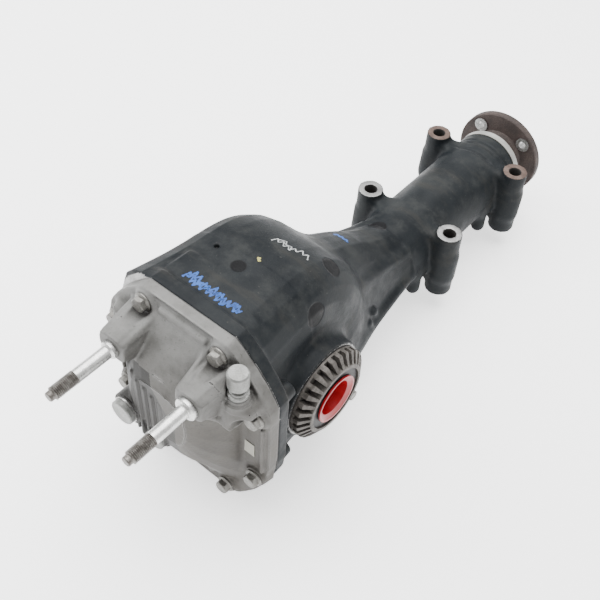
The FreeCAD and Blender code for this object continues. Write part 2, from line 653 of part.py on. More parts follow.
def taper_bearing(cup, cone_name, at, rotation, bore, inner_out, cup_in, cup_out, width, count):
    """A tapered roller bearing along the body's own axis: its cup is one sub-part, race and rollers another."""
    half, roll = width / 2 - 2.2, (cup_in - inner_out) / 2 + 0.25
    middle = (cup_in + inner_out) / 2
    slope = math.radians(12)
    across_n, along_t = Vector(-math.sin(slope), 0, math.cos(slope)), Vector(math.cos(slope), 0,
                                                                             math.sin(slope))
    centre = Vector(width / 2, 0, middle)
    small, large = roll - 0.35, roll + 0.05
    start, end = centre - along_t * half, centre + along_t * half
    low_a, low_b = start - across_n * (small + 0.03), end - across_n * (large + 0.03)
    high_a, high_b = start + across_n * (small + 0.05), end + across_n * (large + 0.05)
    slope_low = (low_b.z - low_a.z) / (low_b.x - low_a.x)
    slope_high = (high_b.z - high_a.z) / (high_b.x - high_a.x)
    low = lambda x: low_a.z + slope_low * (x - low_a.x)
    high = lambda x: high_a.z + slope_high * (x - high_a.x)
    race = [(0, bore), (0, low(0) + 0.7), (1.0, low(1.0) + 0.7), (1.0, low(1.0)),
            (width - 1.2, low(width - 1.2)),
            (width - 1.2, low(width) + 1.5), (width, low(width) + 1.5), (width, bore)]
    shell = [(1.2, high(1.2)), (1.2, cup_out), (width - 0.6, cup_out), (width - 0.6, high(width - 0.6))]
    inner = Part.Face(polygon_wire([Vector(x, 0, r) for x, r in race])).revolve(ORIGIN, X, 360)
    outer = Part.Face(polygon_wire([Vector(x, 0, r) for x, r in shell])).revolve(ORIGIN, X, 360)
    roller = Part.makeCone(small, large, 2 * half, start, along_t)
    rollers = []
    for i in range(count):
        piece = roller.copy()
        piece.rotate(ORIGIN, X, 360.0 * i / count)
        rollers.append(piece)
    for name, shape in ((cup, outer), (cone_name, Part.makeCompound([inner] + rollers))):
        shape.Placement = Placement(at, rotation)
        solid(name, shape)


side_in, side_out = dim("side_bearing_in"), dim("side_bearing_out")
for side, word, rotation in ((1, "right", ALONG_X), (-1, "left", ALONG_MINUS_X)):
    taper_bearing("side_bearing_cup_" + word, "side_bearing_cone_" + word, Vector(side * side_in, 0, 0),
                  rotation,
                  dim("trunnion_radius") + 0.01, 25.2, 32.4, dim("side_cup_radius"), side_out - side_in, 18)
low = dim("pinion_z")
taper_bearing("pinion_rear_bearing_cup", "pinion_rear_bearing_cone", Vector(0, 100, low), ALONG_MINUS_Y,
              dim("shaft_radius") + 0.01, 21.5, 30.5, dim("pinion_cup_radius"), 21, 16)
taper_bearing("pinion_front_bearing_cup", "pinion_front_bearing_cone", Vector(0, 150, low), ALONG_Y,
              dim("front_shaft_radius") + 0.01, 19.5, 26.5, dim("front_cup_radius"), 18.5, 15)


def pilot_bearing():
    """The ball bearing at the nose: its outer ring is one sub-part, its inner ring and balls another."""
    start, width, middle, ball = dim("pilot_start") + 10, 16.0, 23.0, 4.4
    groove = Part.makeTorus(middle, ball + 0.04, Vector(0, 0, 0), X)
    inner = ring_shape(-width / 2, width / 2, dim("pilot_shaft_radius") + 0.01, 20.6).cut(groove)
    groove = Part.makeTorus(middle, ball + 0.06, Vector(0, 0, 0), X)
    outer = ring_shape(-width / 2, width / 2, 25.4, dim("pilot_radius")).cut(groove)
    balls = [Part.makeSphere(ball, Vector(0, middle * math.cos(a), middle * math.sin(a)))
             for a in [2 * math.pi * i / 11 for i in range(11)]]
    where = Placement(Vector(0, start + width / 2, dim("pinion_z")), ALONG_Y)
    for name, shape in (("pilot_bearing_outer", outer),
                        ("pilot_bearing_inner", Part.makeCompound([inner] + balls))):
        shape.Placement = where
        solid(name, shape)


def ring_shape(start, end, inner, outer):
    return Part.Face(polygon_wire([Vector(start, 0, inner), Vector(end, 0, inner), Vector(end, 0, outer),
                                   Vector(start, 0, outer)])).revolve(ORIGIN, X, 360)


pilot_bearing()

SEAL = [("0", "{o}"), ("0", "{i} + 1.6"), ("1.2", "{i} + 1.6"), ("2.6", "{i}"), ("3.6", "{i}"),
        ("4.6", "{i} + 1.4"),
        ("4.6", "{i} + 2.4"), ("1.8", "{i} + 3.4"), ("1.8", "{o} - 1.6"), ("{w}", "{o} - 1.6"), ("{w}",
                                                                                                 "{o}")]


def seal(name, inner, outer, width, at, rotation):
    points = [tuple(t.format(i=inner, o=outer, w=width) for t in pair) for pair in SEAL]
    return keep(turned(name, points, at, rotation))


seal("front_oil_seal", "hub_radius + 0.05", "pilot_radius", "6.5", ("0", "nose_end", "pinion_z"),
     ALONG_MINUS_Y)


def slotted(body, name, inner, outer, width, face, depth, count):
    """Radial slots cut into a turned body's end face, the same all round."""
    half = "%s / 2" % width
    corners = [(inner, "-" + half), (outer, "-" + half), (outer, half), (inner, half)]
    sketch = outline_sketch(body, name + "_slot", "YZ_Plane", corners)
    sketch.setExpression("AttachmentOffset.Base.z", formula(face))
    slot = body.newObject("PartDesign::Pocket", name + "_slot_cut")
    slot.Profile = sketch
    slot.setExpression("Length", formula(depth))
    around = body.newObject("PartDesign::PolarPattern", name + "_slots")
    around.Originals = [slot]
    around.Axis = (sketch, ["N_Axis"])
    around.Angle = 360
    around.setExpression("Occurrences", formula(count))
    sketch.Visibility = False
    body.Tip = around
    return body


def lock_bolt(side, out=0.0):
    """Where the lock plate's bolt meets the axle boss, or that far outside it."""
    angle = math.radians(dim("lock_angle"))
    reach = dim("lock_reach")
    return Vector(side * (dim("axle_boss_face") + out), reach * math.cos(angle), -reach * math.sin(angle))


def lock_plate(side):
    """A square plate on the axle boss whose tongue stands in one of the retainer's slots."""
    centre, inward = lock_bolt(side), Rotation(X, -dim("lock_angle"))
    plate = Part.makeBox(2.6, 15.5, 15, Vector(0 if side > 0 else -2.6, -9, -7.5))
    tongue = Part.makeBox(2.6, 8.7, 3.8, Vector(2.1 if side > 0 else -4.7, -15.4, -1.9))
    hole = Part.makeCylinder(3.1, 12, Vector(-6, 0, 0), X)
    shape = plate.fuse(tongue).cut(hole)
    shape.Placement = Placement(centre, inward)
    return shape


RETAINER = [("side_bearing_in + 1.2", "side_cup_radius + 0.02"),
            ("side_bearing_out - 0.5", "side_cup_radius + 0.02"),
            ("side_bearing_out - 0.5", "seal_bore + 0.02"), ("retainer_face", "seal_bore + 0.02"),
            ("retainer_face", "retainer_rim"), ("retainer_shoulder", "retainer_head - 0.8"),
            ("retainer_shoulder - 0.8", "retainer_head"),
            ("axle_boss_face + 0.1", "retainer_head"), ("axle_boss_face + 0.1", "retainer_radius - 1.2"),
            ("axle_boss_face - 2", "retainer_radius - 1.2"), ("axle_boss_face - 2", "retainer_radius"),
            ("side_bearing_in + 2.2", "retainer_radius"), ("side_bearing_in + 1.2", "retainer_radius - 1")]
for side, word, rotation in ((1, "right", ALONG_X), (-1, "left", ALONG_MINUS_X)):
    retainer = turned("side_retainer_" + word, RETAINER, rotation=rotation)
    keep(slotted(retainer, "side_retainer_" + word, "retainer_rim + 0.6", "retainer_head + 1", "4.6",
                 "retainer_face",
                 "retainer_face - axle_boss_face - 2",
                 "slot_count"))
    keep(ring("retainer_o_ring_" + word, "retainer_radius - 1.15", "retainer_radius - 0.03",
              "axle_boss_face - 1.9",
              "axle_boss_face", rotation=rotation, chamfer="0.3"))
    seal("side_seal_" + word, "seal_lip", "seal_bore", "8", ("%d * seal_face" % side, "0", "0"),
         ALONG_MINUS_X if side > 0 else ALONG_X)
    plug = [("side_bearing_out + 2.6", "0"), ("side_bearing_out + 2.6", "seal_lip - 0.12"),
            ("seal_face + 0.5", "seal_lip - 0.12"), ("seal_face + 1.3", "plug_rim"),
            ("plug_face", "plug_rim"), ("plug_face", "plug_rim - 1.6"), ("plug_face - 0.6", "plug_rim - 2.4"),
            ("seal_face + 0.5", "seal_lip - 1.8"), ("side_bearing_out + 4.6", "seal_lip - 2.8"),
            ("side_bearing_out + 4.6", "0")]
    keep(turned("transport_plug_" + word, plug, rotation=rotation))
    solid("lock_plate_" + word, lock_plate(side))
    set_of("lock_plate_bolt_" + word, hex_bolt(10, 5.5, 6.6, 3.0, 12),
           [Placement(lock_bolt(side, 2.62), ALONG_MINUS_X if side > 0 else ALONG_X)])

# ---------------------------------------------------------------- input end

at_input = ("0", "0", "pinion_z")
flange = turned("companion_flange", [
    ("hub_start", "spline_radius + 0.02"), ("flange_face - 17",
                                            "spline_radius + 0.02"), ("flange_face - 17", "19"),
    ("flange_face - 1", "19"), ("flange_face", "20"), ("flange_face", "flange_radius - 1"),
    ("flange_face - 1", "flange_radius"), ("flange_face - flange_thick + 1", "flange_radius"),
    ("flange_face - flange_thick", "flange_radius - 1"), ("flange_face - flange_thick", "30"),
    ("flange_face - flange_thick - 4", "26"), ("flange_face - flange_thick - 18", "hub_radius + 1.5"),
    ("flange_face - flange_thick - 18", "hub_radius"), ("hub_start", "hub_radius")], at_input, ALONG_Y)
hole_sketch = flange.newObject("Sketcher::SketchObject", "flange_hole")
hole_sketch.AttachmentSupport = [(origin_plane(flange, "YZ_Plane"), "")]
hole_sketch.MapMode = "FlatFace"
hole_sketch.setExpression("AttachmentOffset.Base.z", formula("flange_face"))
spot = dim("flange_pcd_radius") / math.sqrt(2)
hole_sketch.addGeometry(Part.Circle(Vector(spot, spot, 0), Z, dim("bush_radius")), False)
for kind, text, now in (("DistanceX", "flange_pcd_radius / sqrt(2)", spot),
                        ("DistanceY", "flange_pcd_radius / sqrt(2)", spot)):
    index = hole_sketch.addConstraint(Sketcher.Constraint(kind, -1, 1, 0, 3, now))
    hole_sketch.setExpression("Constraints[%d]" % index, formula(text))
index = hole_sketch.addConstraint(Sketcher.Constraint("Radius", 0, dim("bush_radius") + 0.02))
hole_sketch.setExpression("Constraints[%d]" % index, formula("bush_radius + 0.02"))
hole_cut = flange.newObject("PartDesign::Pocket", "flange_hole_cut")
hole_cut.Profile = hole_sketch
hole_cut.setExpression("Length", formula("flange_thick + 1"))
four = flange.newObject("PartDesign::PolarPattern", "flange_holes")
four.Originals = [hole_cut]
four.Axis = (hole_sketch, ["N_Axis"])
four.Angle = 360
four.Occurrences = 4
hole_sketch.Visibility = False
flange.Tip = four
keep(flange)

bush = ring_shape(-dim("flange_thick") - 1.2, 0, dim("flange_hole_radius"), dim("bush_radius"))
head = ring_shape(-dim("flange_thick") - 1.2, -dim("flange_thick"), dim("flange_hole_radius"),
                  dim("bush_radius") + 1.6)
bush = bush.fuse(head)
radius, low = dim("flange_pcd_radius"), dim("pinion_z")
spots = [Vector(radius * math.cos(a), dim("flange_face"), low + radius * math.sin(a))
         for a in [math.radians(45 + 90 * i) for i in range(4)]]
set_of("flange_bushes", bush, [Placement(s, ALONG_Y) for s in spots])

keep(turned("dust_deflector", [("nose_end + 0.7", "collar_radius - 1.4"), ("nose_end + 0.7", "collar_radius"),
                               ("nose_end + 8.2", "collar_radius"), ("nose_end + 9", "collar_radius - 0.8"),
                               ("nose_end + 9", "hub_radius + 0.02"), ("nose_end + 7.6", "hub_radius + 0.02"),
                               ("nose_end + 7.6", "collar_radius - 1.4")], at_input, ALONG_Y))
keep(ring("pinion_washer", "nut_thread_radius + 0.1", "17", "flange_face - 16.98", "flange_face - 14",
          at_input,
          ALONG_Y))
nut = turned("pinion_nut", [("flange_face - 13.98", "nut_thread_radius + 0.02"),
                            ("flange_face - 13.98", "15.4"),
                            ("flange_face - 12", "15.4"), ("flange_face - 11", "13.4"),
                            ("flange_face - 2.4", "13.4"), ("flange_face - 1.4", "12.4"),
                            ("flange_face - 1.4", "nut_thread_radius + 0.02")], at_input, ALONG_Y)
keep(nut)
keep(ring("nose_spacer", "nose_shaft_radius + 0.05", "nose_shaft_radius + 4.5", "168.7", "pilot_start + 9.9",
          at_input, ALONG_Y))
keep(turned("collapsible_spacer", [("100.1", "shaft_radius + 0.05"), ("149.9", "shaft_radius + 0.05"),
                                   ("149.9", "shaft_radius + 2.2"), ("134", "shaft_radius + 2.2"),
                                   ("128", "shaft_radius + 5"), ("118", "shaft_radius + 5"),
                                   ("112", "shaft_radius + 2.2"), ("100.1",
                                                                   "shaft_radius + 2.2")], at_input, ALONG_Y))
keep(ring("pinion_head_shim", "shaft_radius + 0.05", "shaft_radius + 7", "78", "78.95", at_input, ALONG_Y,
          "0.1"))

# ---------------------------------------------------------------- hypoid gears

OFFSET = -dim("pinion_z")
RATIO = dim("ring_teeth") / dim("pinion_teeth")
SLOPE = dim("ring_slope")
FLANK = math.tan(math.radians(dim("hypoid_flank")))
RING_TIP, RING_ROOT, PINION_TIP, PINION_ROOT = 1.8, 5.6, 4.4, 2.7


def pitch_point():
    """Where the two pitch cones touch: the turn round the pinion's axis from -X, and the place along it."""
    turn = 0.1
    for _ in range(40):
        drop = OFFSET - dim("pitch_offset") * math.sin(turn)
        turn = math.atan(SLOPE * drop / dim("ring_mean"))
    return turn, math.sqrt(dim("ring_mean") ** 2 - drop ** 2)


MESH_TURN, MEAN_Y = pitch_point()
PINION_SLOPE = SLOPE * MEAN_Y / dim("ring_mean") * math.cos(MESH_TURN)


def ring_spiral():
    """The ring gear's spiral angle at the mean radius, along the sliding velocity of the two gears there."""
    radius, drop = dim("pitch_offset"), OFFSET - dim("pitch_offset") * math.sin(MESH_TURN)
    spin = RATIO * radius
    slide = Vector(-spin * math.sin(MESH_TURN), drop, MEAN_Y - spin * math.cos(MESH_TURN))
    along = Vector(-SLOPE, MEAN_Y / dim("ring_mean"), -drop / dim("ring_mean"))
    return slide.getAngle(along)


SPIRAL = ring_spiral()


def pitch_radius(y):
    """The pinion's pitch cone."""
    return dim("pitch_offset") + (y - MEAN_Y) * PINION_SLOPE


def ring_pitch_x(rho):
    """The ring gear's pitch cone."""
    return -dim("pitch_offset") * math.cos(MESH_TURN) - SLOPE * (rho - dim("ring_mean"))


def spiral_at(rho):
    return SPIRAL + dim("spiral_growth") * (rho - dim("ring_mean"))


def ring_curve():
    """The polar angle of a ring gear tooth's centre line at each radius, zero at the mean radius."""
    start, stop, steps = dim("ring_inner") - 2.0, dim("ring_outer") + 2.0, 600
    table, angle = [], 0.0
    for i in range(steps + 1):
        rho = start + (stop - start) * i / steps
        table.append((rho, angle))
        angle -= math.tan(spiral_at(rho)) * math.hypot(1, SLOPE) / rho * (stop - start) / steps
    middle = min(table, key=lambda pair: abs(pair[0] - dim("ring_mean")))[1]
    return [(rho, a - middle) for rho, a in table]


CURVE = ring_curve()


def tooth_angle(rho):
    position = (rho - CURVE[0][0]) / (CURVE[1][0] - CURVE[0][0])
    i = max(0, min(len(CURVE) - 2, int(position)))
    share = position - i
    return CURVE[i][1] * (1 - share) + CURVE[i + 1][1] * share


def tooth_slope(rho):
    return math.cos(spiral_at(rho))


RING_STEP = 2 * math.pi / dim("ring_teeth")
SPACE = -math.acos(MEAN_Y / dim("ring_mean"))


def ring_half(rho, above):
    """Half the ring tooth's width round the axle, at a height above the pitch surface."""
    return 0.205 * rho * RING_STEP - above * FLANK / tooth_slope(rho)


def ring_gear():
    """The ring gear: curved tapering teeth lofted through five sections, on a turned blank."""
    teeth = []
    for k in range(int(dim("ring_teeth"))):
        wires = []
        for i in range(5):
            rho = dim("ring_inner") + (dim("ring_outer") - dim("ring_inner")) * i / 4
            angle = SPACE + (k + 0.5) * RING_STEP + tooth_angle(rho)
            out = Vector(0, math.cos(angle), math.sin(angle))
            side = Vector(0, -math.sin(angle), math.cos(angle))
            pitch = ring_pitch_x(rho)
            top, foot = ring_half(rho, RING_TIP), ring_half(rho, -RING_ROOT - 0.9)
            corners = [(RING_TIP, top), (-RING_ROOT - 0.9, foot), (-RING_ROOT - 0.9, -foot), (RING_TIP, -top)]
            wires.append(polygon_wire([out * rho + side * s + X * (pitch + h) for h, s in corners]))
        teeth.append(loft(wires))
    inner, outer, back = dim("ring_inner"), dim("ring_outer"), dim("ring_back")
    blank = [(back, dim("ring_bore")), (back, outer - 3), (back + 3, outer),
             (ring_pitch_x(outer) - RING_ROOT, outer), (ring_pitch_x(inner) - RING_ROOT, inner),
             (ring_pitch_x(inner) - RING_ROOT - 2, inner - 3), (-33, dim("ring_bore"))]
    body = Part.Face(polygon_wire([Vector(x, 0, r) for x, r in blank])).revolve(ORIGIN, X, 360)
    holes = [Part.makeCylinder(dim("ring_bolt_radius") + 0.02, 13, Vector(back - 1, y, z), X)
             for y, z in ring_bolt_places()]
    return body.multiFuse(teeth).cut(Part.makeCompound(holes))


def ring_bolt_places():
    turns = [2 * math.pi * (i + 0.5) / 10 for i in range(10)]
    return [(dim("ring_bolt_circle") * math.cos(a), dim("ring_bolt_circle") * math.sin(a)) for a in turns]


def clear_of_ring(radius, angle, y, turn):
    """Whether a point fixed on the pinion clears every ring tooth when the pinion has turned this far."""
    now = angle + turn
    x, z = -radius * math.cos(now), -OFFSET + radius * math.sin(now)
    rho = math.hypot(y, z)
    gap = dim("mesh_gap")
    if rho > dim("ring_outer") + gap or rho < dim("ring_inner") - gap:
        return True
    above = x - ring_pitch_x(rho)
    if above > RING_TIP + gap:
        return True
    around = math.atan2(z, y) - turn / RATIO - SPACE - tooth_angle(rho)
    nearest = (around / RING_STEP) % 1.0 - 0.5
    needed = ring_half(rho, above) + gap / tooth_slope(rho) / math.cos(math.atan(FLANK))
    return abs(nearest) * RING_STEP * rho > needed


def free_span(clear, start, limit, turns):
    """The angles a tooth may fill at one radius: the free run nearest to a start angle, its ends halved in."""
    step = 0.02
    free = lambda angle: all(clear(angle, t - angle) for t in turns)
    seeds = [start] + [start + side * step * k for k in range(1, 12) for side in (1, -1)]
    seed = next((angle for angle in seeds if free(angle)), None)
    if seed is None:
        return None
    ends = []
    for side in (-1, 1):
        inside, outside = 0.0, step
        while outside < 2 * limit and free(seed + side * outside):
            inside, outside = outside, outside + step
        for _ in range(6):
            trial = (inside + outside) / 2
            inside, outside = (trial, outside) if free(seed + side * trial) else (inside, trial)
        ends.append(seed + side * inside)
    return max(ends[0], start - limit), min(ends[1], start + limit)


TURNS = [MESH_TURN - 1.15 + 0.025 * i for i in range(93)]


def pinion_section(y):
    """One tooth's outline across the pinion's axis: its two flanks from foot to tip."""
    radius = pitch_radius(y)
    z = radius * math.sin(MESH_TURN) - OFFSET
    turned_by = RATIO * (math.atan2(z, y) - SPACE - tooth_angle(math.hypot(y, z)))
    middle = MESH_TURN - turned_by
    left, right = [], []
    for i in range(7):
        r = radius - PINION_ROOT - 0.1 + (PINION_TIP + PINION_ROOT + 0.1) * i / 6
        span = free_span(lambda a, t: clear_of_ring(r, a, y, t), middle,
                         0.92 * math.pi / dim("pinion_teeth"), TURNS)
        if span is None or span[1] - span[0] < 0.012:
            break
        left.append((r, span[0]))
        right.append((r, span[1]))
    return left, right


def on_pinion(pair, y):
    r, angle = pair
    return Vector(-r * math.cos(angle), y, dim("pinion_z") + r * math.sin(angle))


def tooth_wire(left, right, point, sunk):
    """A closed outline from two flank curves, its foot sunk into the blank."""
    low_left, low_right = (left[0][0] - sunk, left[0][1]), (right[0][0] - sunk, right[0][1])
    first = Part.BSplineCurve()
    first.interpolate(Points=[point(p) for p in left])
    second = Part.BSplineCurve()
    second.interpolate(Points=[point(p) for p in reversed(right)])
    edges = [first.toShape(), Part.LineSegment(point(left[-1]), point(right[-1])).toShape(), second.toShape(),
             Part.LineSegment(point(right[0]), point(low_right)).toShape(),
             Part.LineSegment(point(low_right), point(low_left)).toShape(),
             Part.LineSegment(point(low_left), point(left[0])).toShape()]
    return Part.Wire(edges)


def drive_pinion():
    """The pinion: ten teeth generated from the ring gear's, on a shaft stepped down to its threaded end."""
    first, last, count = 38.0, 69.0, 8
    wires = []
    for i in range(count):
        y = first + (last - first) * i / (count - 1)
        left, right = pinion_section(y)
        wires.append(tooth_wire(left, right, lambda p: on_pinion(p, y), 1.2))
    tooth = loft(wires)
    axis = Vector(0, 0, dim("pinion_z"))
    teeth = []
    for k in range(int(dim("pinion_teeth"))):
        piece = tooth.copy()
        piece.rotate(axis, Y, 360.0 * k / dim("pinion_teeth"))
        teeth.append(piece)
    steps = [(first - 2, 0), (first - 2, pitch_radius(first) - PINION_ROOT - 3),
             (first, pitch_radius(first) - PINION_ROOT), (last,
                                                          pitch_radius(last) - PINION_ROOT), (last + 1, 26),
             (78, 22.5), (78, dim("shaft_radius")), (149.9, dim("shaft_radius")), (149.9,
                                                                                   dim("front_shaft_radius")),
             (168.6, dim("front_shaft_radius")), (168.6, dim("nose_shaft_radius")),
             (dim("pilot_start") + 9, dim("nose_shaft_radius")), (dim("pilot_start") + 9,
                                                                  dim("pilot_shaft_radius")),
             (dim("hub_start"), dim("pilot_shaft_radius")), (dim("hub_start"), dim("spline_radius")),
             (dim("flange_face") - 17, dim("spline_radius")), (dim("flange_face") - 17,
                                                               dim("nut_thread_radius")),
             (dim("flange_face") - 0.5, dim("nut_thread_radius")), (dim("flange_face") + 0, 8.5),
             (dim("flange_face") + 0, 0)]
    shaft = Part.Face(polygon_wire([Vector(r, y, dim("pinion_z")) for y, r in steps])).revolve(axis, Y, 360)
    return shaft.multiFuse(teeth)


solid("ring_gear", ring_gear())
solid("drive_pinion", drive_pinion())

# ---------------------------------------------------------------- differential gears

MODULE = 2 * dim("side_pitch_radius") / dim("side_teeth")
SIDE_PITCH = math.atan2(dim("side_teeth"), dim("mate_teeth"))
MATE_PITCH = math.pi / 2 - SIDE_PITCH
CONE = dim("side_pitch_radius") / math.sin(SIDE_PITCH)
SIDE_STEP = 2 * math.pi / dim("side_teeth")
BEVEL = math.tan(math.radians(22.5))
SIDE_TIP, SIDE_ROOT, MATE_TIP, MATE_ROOT, BEVEL_GAP = 2.3, 3.9, 3.3, 2.8, 0.26


def side_half(above):
    """Half the side gear tooth's width at the large end, at a height above the pitch cone."""
    return 0.225 * math.pi * MODULE - above * BEVEL


def clear_of_side(angle_from_axis, around, turn):
    """Whether a direction fixed on the mate gear clears the side gear's teeth when the mate has turned this far."""
    now = around + turn
    x = math.sin(angle_from_axis) * math.cos(now)
    y = math.sin(angle_from_axis) * math.sin(now)
    z = math.cos(angle_from_axis)
    cone_angle = math.acos(max(-1.0, min(1.0, x)))
    above = CONE * (cone_angle - SIDE_PITCH)
    if above > SIDE_TIP + BEVEL_GAP:
        return True
    spun = math.atan2(y, z) - turn * dim("mate_teeth") / dim("side_teeth")
    nearest = (spun / SIDE_STEP) % 1.0 - 0.5
    reach = abs(nearest) * SIDE_STEP * CONE * math.sin(cone_angle)
    return reach > side_half(above) + BEVEL_GAP / math.cos(math.atan(BEVEL))


def side_gear_teeth():
    """The side gear's teeth along +X, one space centred towards +Z."""
    teeth = []
    for k in range(int(dim("side_teeth"))):
        middle = (k + 0.5) * SIDE_STEP
        wires = []
        for size in (0.45, 1.12):
            corners = []
            for h, sign in ((SIDE_TIP, 1), (-SIDE_ROOT - 1.2, 1), (-SIDE_ROOT - 1.2, -1), (SIDE_TIP, -1)):
                cone_angle = SIDE_PITCH + h / CONE
                turn = middle + sign * side_half(h) / (CONE * math.sin(cone_angle))
                reach = CONE * size * math.cos(SIDE_PITCH) * math.tan(cone_angle)
                corners.append(Vector(CONE * size * math.cos(SIDE_PITCH), reach * math.sin(turn),
                                      reach * math.cos(turn)))
            wires.append(polygon_wire(corners))
        teeth.append(loft(wires, True))
    return teeth


def cone_blank(pitch_angle, root, size_in, size_out):
    """The cone under a bevel gear's teeth, along +X."""
    near, far = CONE * size_in * math.cos(pitch_angle), CONE * size_out * math.cos(pitch_angle)
    slope = math.tan(pitch_angle - root / CONE)
    return lathe([(near, 0), (near, near * slope), (far, far * slope), (far, 0)])


def side_gear():
    """A side gear along +X: bevel teeth, hub and splined bore."""
    shape = cone_blank(SIDE_PITCH, SIDE_ROOT, 0.45, 1.12).multiFuse(side_gear_teeth())
    shape = shape.common(Part.makeSphere(dim("case_inner") - 1.1))
    back = dim("side_back")
    rear = lathe([(12, 0), (12, 14.2), (19.2, 22.9), (20, 23.4), (back, 23.4), (back, dim("hub_bore") - 0.05),
                  (back + 17, dim("hub_bore") - 0.05), (back + 18, dim("hub_bore") - 1), (back + 18, 0)])
    shape = shape.common(lathe([(0, 0), (0, 60), (back - 0.5, 60), (back - 0.5, 0)])).fuse(rear)
    shape = shape.cut(Part.makeSphere(CONE * 0.62))
    spline = []
    for i in range(54):
        r = 13.2 if i % 2 else 12.2
        for shift in (-0.22, 0.22):
            a = 2 * math.pi * (i + shift) / 54
            spline.append(Vector(0, r * math.cos(a), r * math.sin(a)))
    return shape.cut(Part.Face(polygon_wire(spline)).extrude(Vector(80, 0, 0)))


def mate_gear():
    """A pinion mate gear along +Z, its teeth generated from the side gear's."""
    left, right = [], []
    turns = [-0.9 + 0.02 * i for i in range(91)]
    for i in range(7):
        height = -MATE_ROOT - 0.1 + (MATE_TIP + MATE_ROOT + 0.1) * i / 6
        cone_angle = MATE_PITCH + height / CONE
        before, after = free_span(lambda a, t: clear_of_side(cone_angle, a, t), 0.0,
                                  0.92 * math.pi / dim("mate_teeth"),
                                  turns)
        span = min(-before, after)
        left.append((cone_angle, -span))
        right.append((cone_angle, span))
    wires = []
    for size in (0.45, 1.12):
        height = CONE * size * math.cos(MATE_PITCH)

        def point(pair, z=height):
            reach = z * math.tan(pair[0])
            return Vector(reach * math.cos(pair[1]), reach * math.sin(pair[1]), z)

        wires.append(tooth_wire(left, right, point, 1.0 / CONE))
    tooth = loft(wires, True)
    teeth = []
    for k in range(int(dim("mate_teeth"))):
        piece = tooth.copy()
        piece.rotate(ORIGIN, Z, 360.0 * k / dim("mate_teeth"))
        teeth.append(piece)
    core = cone_blank(MATE_PITCH, MATE_ROOT, 0.45, 1.12)
    core.rotate(ORIGIN, Y, -90)
    whole = core.multiFuse(teeth).common(Part.makeSphere(dim("case_inner") - 1.1))
    shape = whole.cut(Part.makeSphere(CONE * 0.62))
    return shape.cut(Part.makeCylinder(dim("cross_radius") + 0.05, 60))


gear = side_gear()
solid("side_gear_right", gear.copy())
gear.rotate(ORIGIN, Z, 180)
solid("side_gear_left", gear)
mate = mate_gear()
solid("pinion_mate_gear_upper", mate.copy())
mate.rotate(ORIGIN, X, 180)
solid("pinion_mate_gear_lower", mate)

for word, up in (("upper", 1), ("lower", -1)):
    shell = Part.makeSphere(dim("case_inner") - 0.05).cut(Part.makeSphere(dim("case_inner") - 1.0))
    dish = shell.common(Part.makeCylinder(13, 40, ORIGIN, Z * up))
    solid("mate_gear_washer_" + word, dish.cut(Part.makeCylinder(dim("cross_radius") + 0.04, 60, ORIGIN,
                                                                 Z * up)))
for word, rotation in (("right", ALONG_X), ("left", ALONG_MINUS_X)):
    keep(ring("side_gear_washer_" + word, "hub_bore + 0.1", "23.2", "side_back + 0.06", "side_back + 1.0",
              rotation=rotation, chamfer="0.1"))
cross = Part.makeCylinder(dim("cross_radius"), 2 * dim("case_outer") - 1,
                          Vector(0, 0, 0.5 - dim("case_outer")), Z)
cross = cross.cut(Part.makeCylinder(1.52, 40, Vector(-20, 0, 34.8), X))
solid("pinion_mate_shaft", cross)
solid("shaft_lock_pin", Part.makeCylinder(1.5, 18, Vector(-9, 0, 34.8), X))


def differential_case():
    """The case: trunnions, ring gear flange, round seat for the gears, two windows and the shaft's holes."""
    face, end, bore = dim("side_bearing_in"), dim("side_bearing_out") + 1.2, dim("hub_bore")
    trunnion, outer, back = dim("trunnion_radius"), dim("case_outer"), dim("ring_back")
    outside = [(-end, 0), (-end, trunnion - 0.8), (0.8 - end, trunnion), (-face, trunnion), (-face, 25.5),
               (-59, 26),
               (-58, 32), (-58, 66), (back, 66), (back, dim("ring_bore") - 0.03), (-35,
                                                                                   dim("ring_bore") - 0.03),
               (-28, outer), (34, outer), (48, 29), (face, 25.5), (face, trunnion), (end - 0.8, trunnion),
               (end, trunnion - 0.8), (end, 0)]
    shape = lathe(outside)
    seat_end = dim("side_back") + 1.04
    room = Part.makeSphere(dim("case_inner")).fuse(lathe([(-seat_end, 0), (-seat_end, 23.8), (seat_end, 23.8),
                                                          (seat_end, 0)]))
    cuts = [room, Part.makeCylinder(bore, 4 * face, Vector(-2 * face, 0, 0), X),
            Part.makeCylinder(dim("cross_radius") + 0.02, 120, Vector(0, 0, -60), Z),
            Part.makeCylinder(1.52, 22, Vector(-11, 0, 34.8), X)]
    window = Part.makeBox(34, 120, 40, Vector(-17, -60, -20))
    cuts.append(window.makeFillet(9, [e for e in window.Edges
                                      if abs(e.tangentAt(e.FirstParameter).y) > 0.99]))
    for y, z in ring_bolt_places():
        cuts.append(Part.makeCylinder(dim("ring_bolt_radius") + 0.3, 14, Vector(-60, y, z), X))
    return shape.cut(Part.makeCompound(cuts))


solid("differential_case", differential_case())
ring_bolt = hex_bolt(12, 5.5, 6.4, dim("ring_bolt_radius"), 18)
set_of("ring_gear_bolts", ring_bolt, [Placement(Vector(-58.02, y, z), ALONG_X) for y,
                                      z in ring_bolt_places()])


def write_parts():
    """Checks every object of the document, then writes each sub-part's solids to its own file."""
    doc.recompute()
    for obj in doc.Objects:
        if "Invalid" in obj.State or "Error" in obj.State:
            raise RuntimeError("%s failed: %s" % (obj.Name, obj.State))
    for obj in SUBPARTS:
        if obj.Shape.isNull() or not obj.Shape.isValid() or obj.Shape.Volume <= 0:
            raise RuntimeError("%s has no sound solid" % obj.Label)
    for obj in SUBPARTS:
        obj.Shape.exportStep("parts/%s.step" % obj.Label)
    print("%d sub-parts written" % len(SUBPARTS))


write_parts()
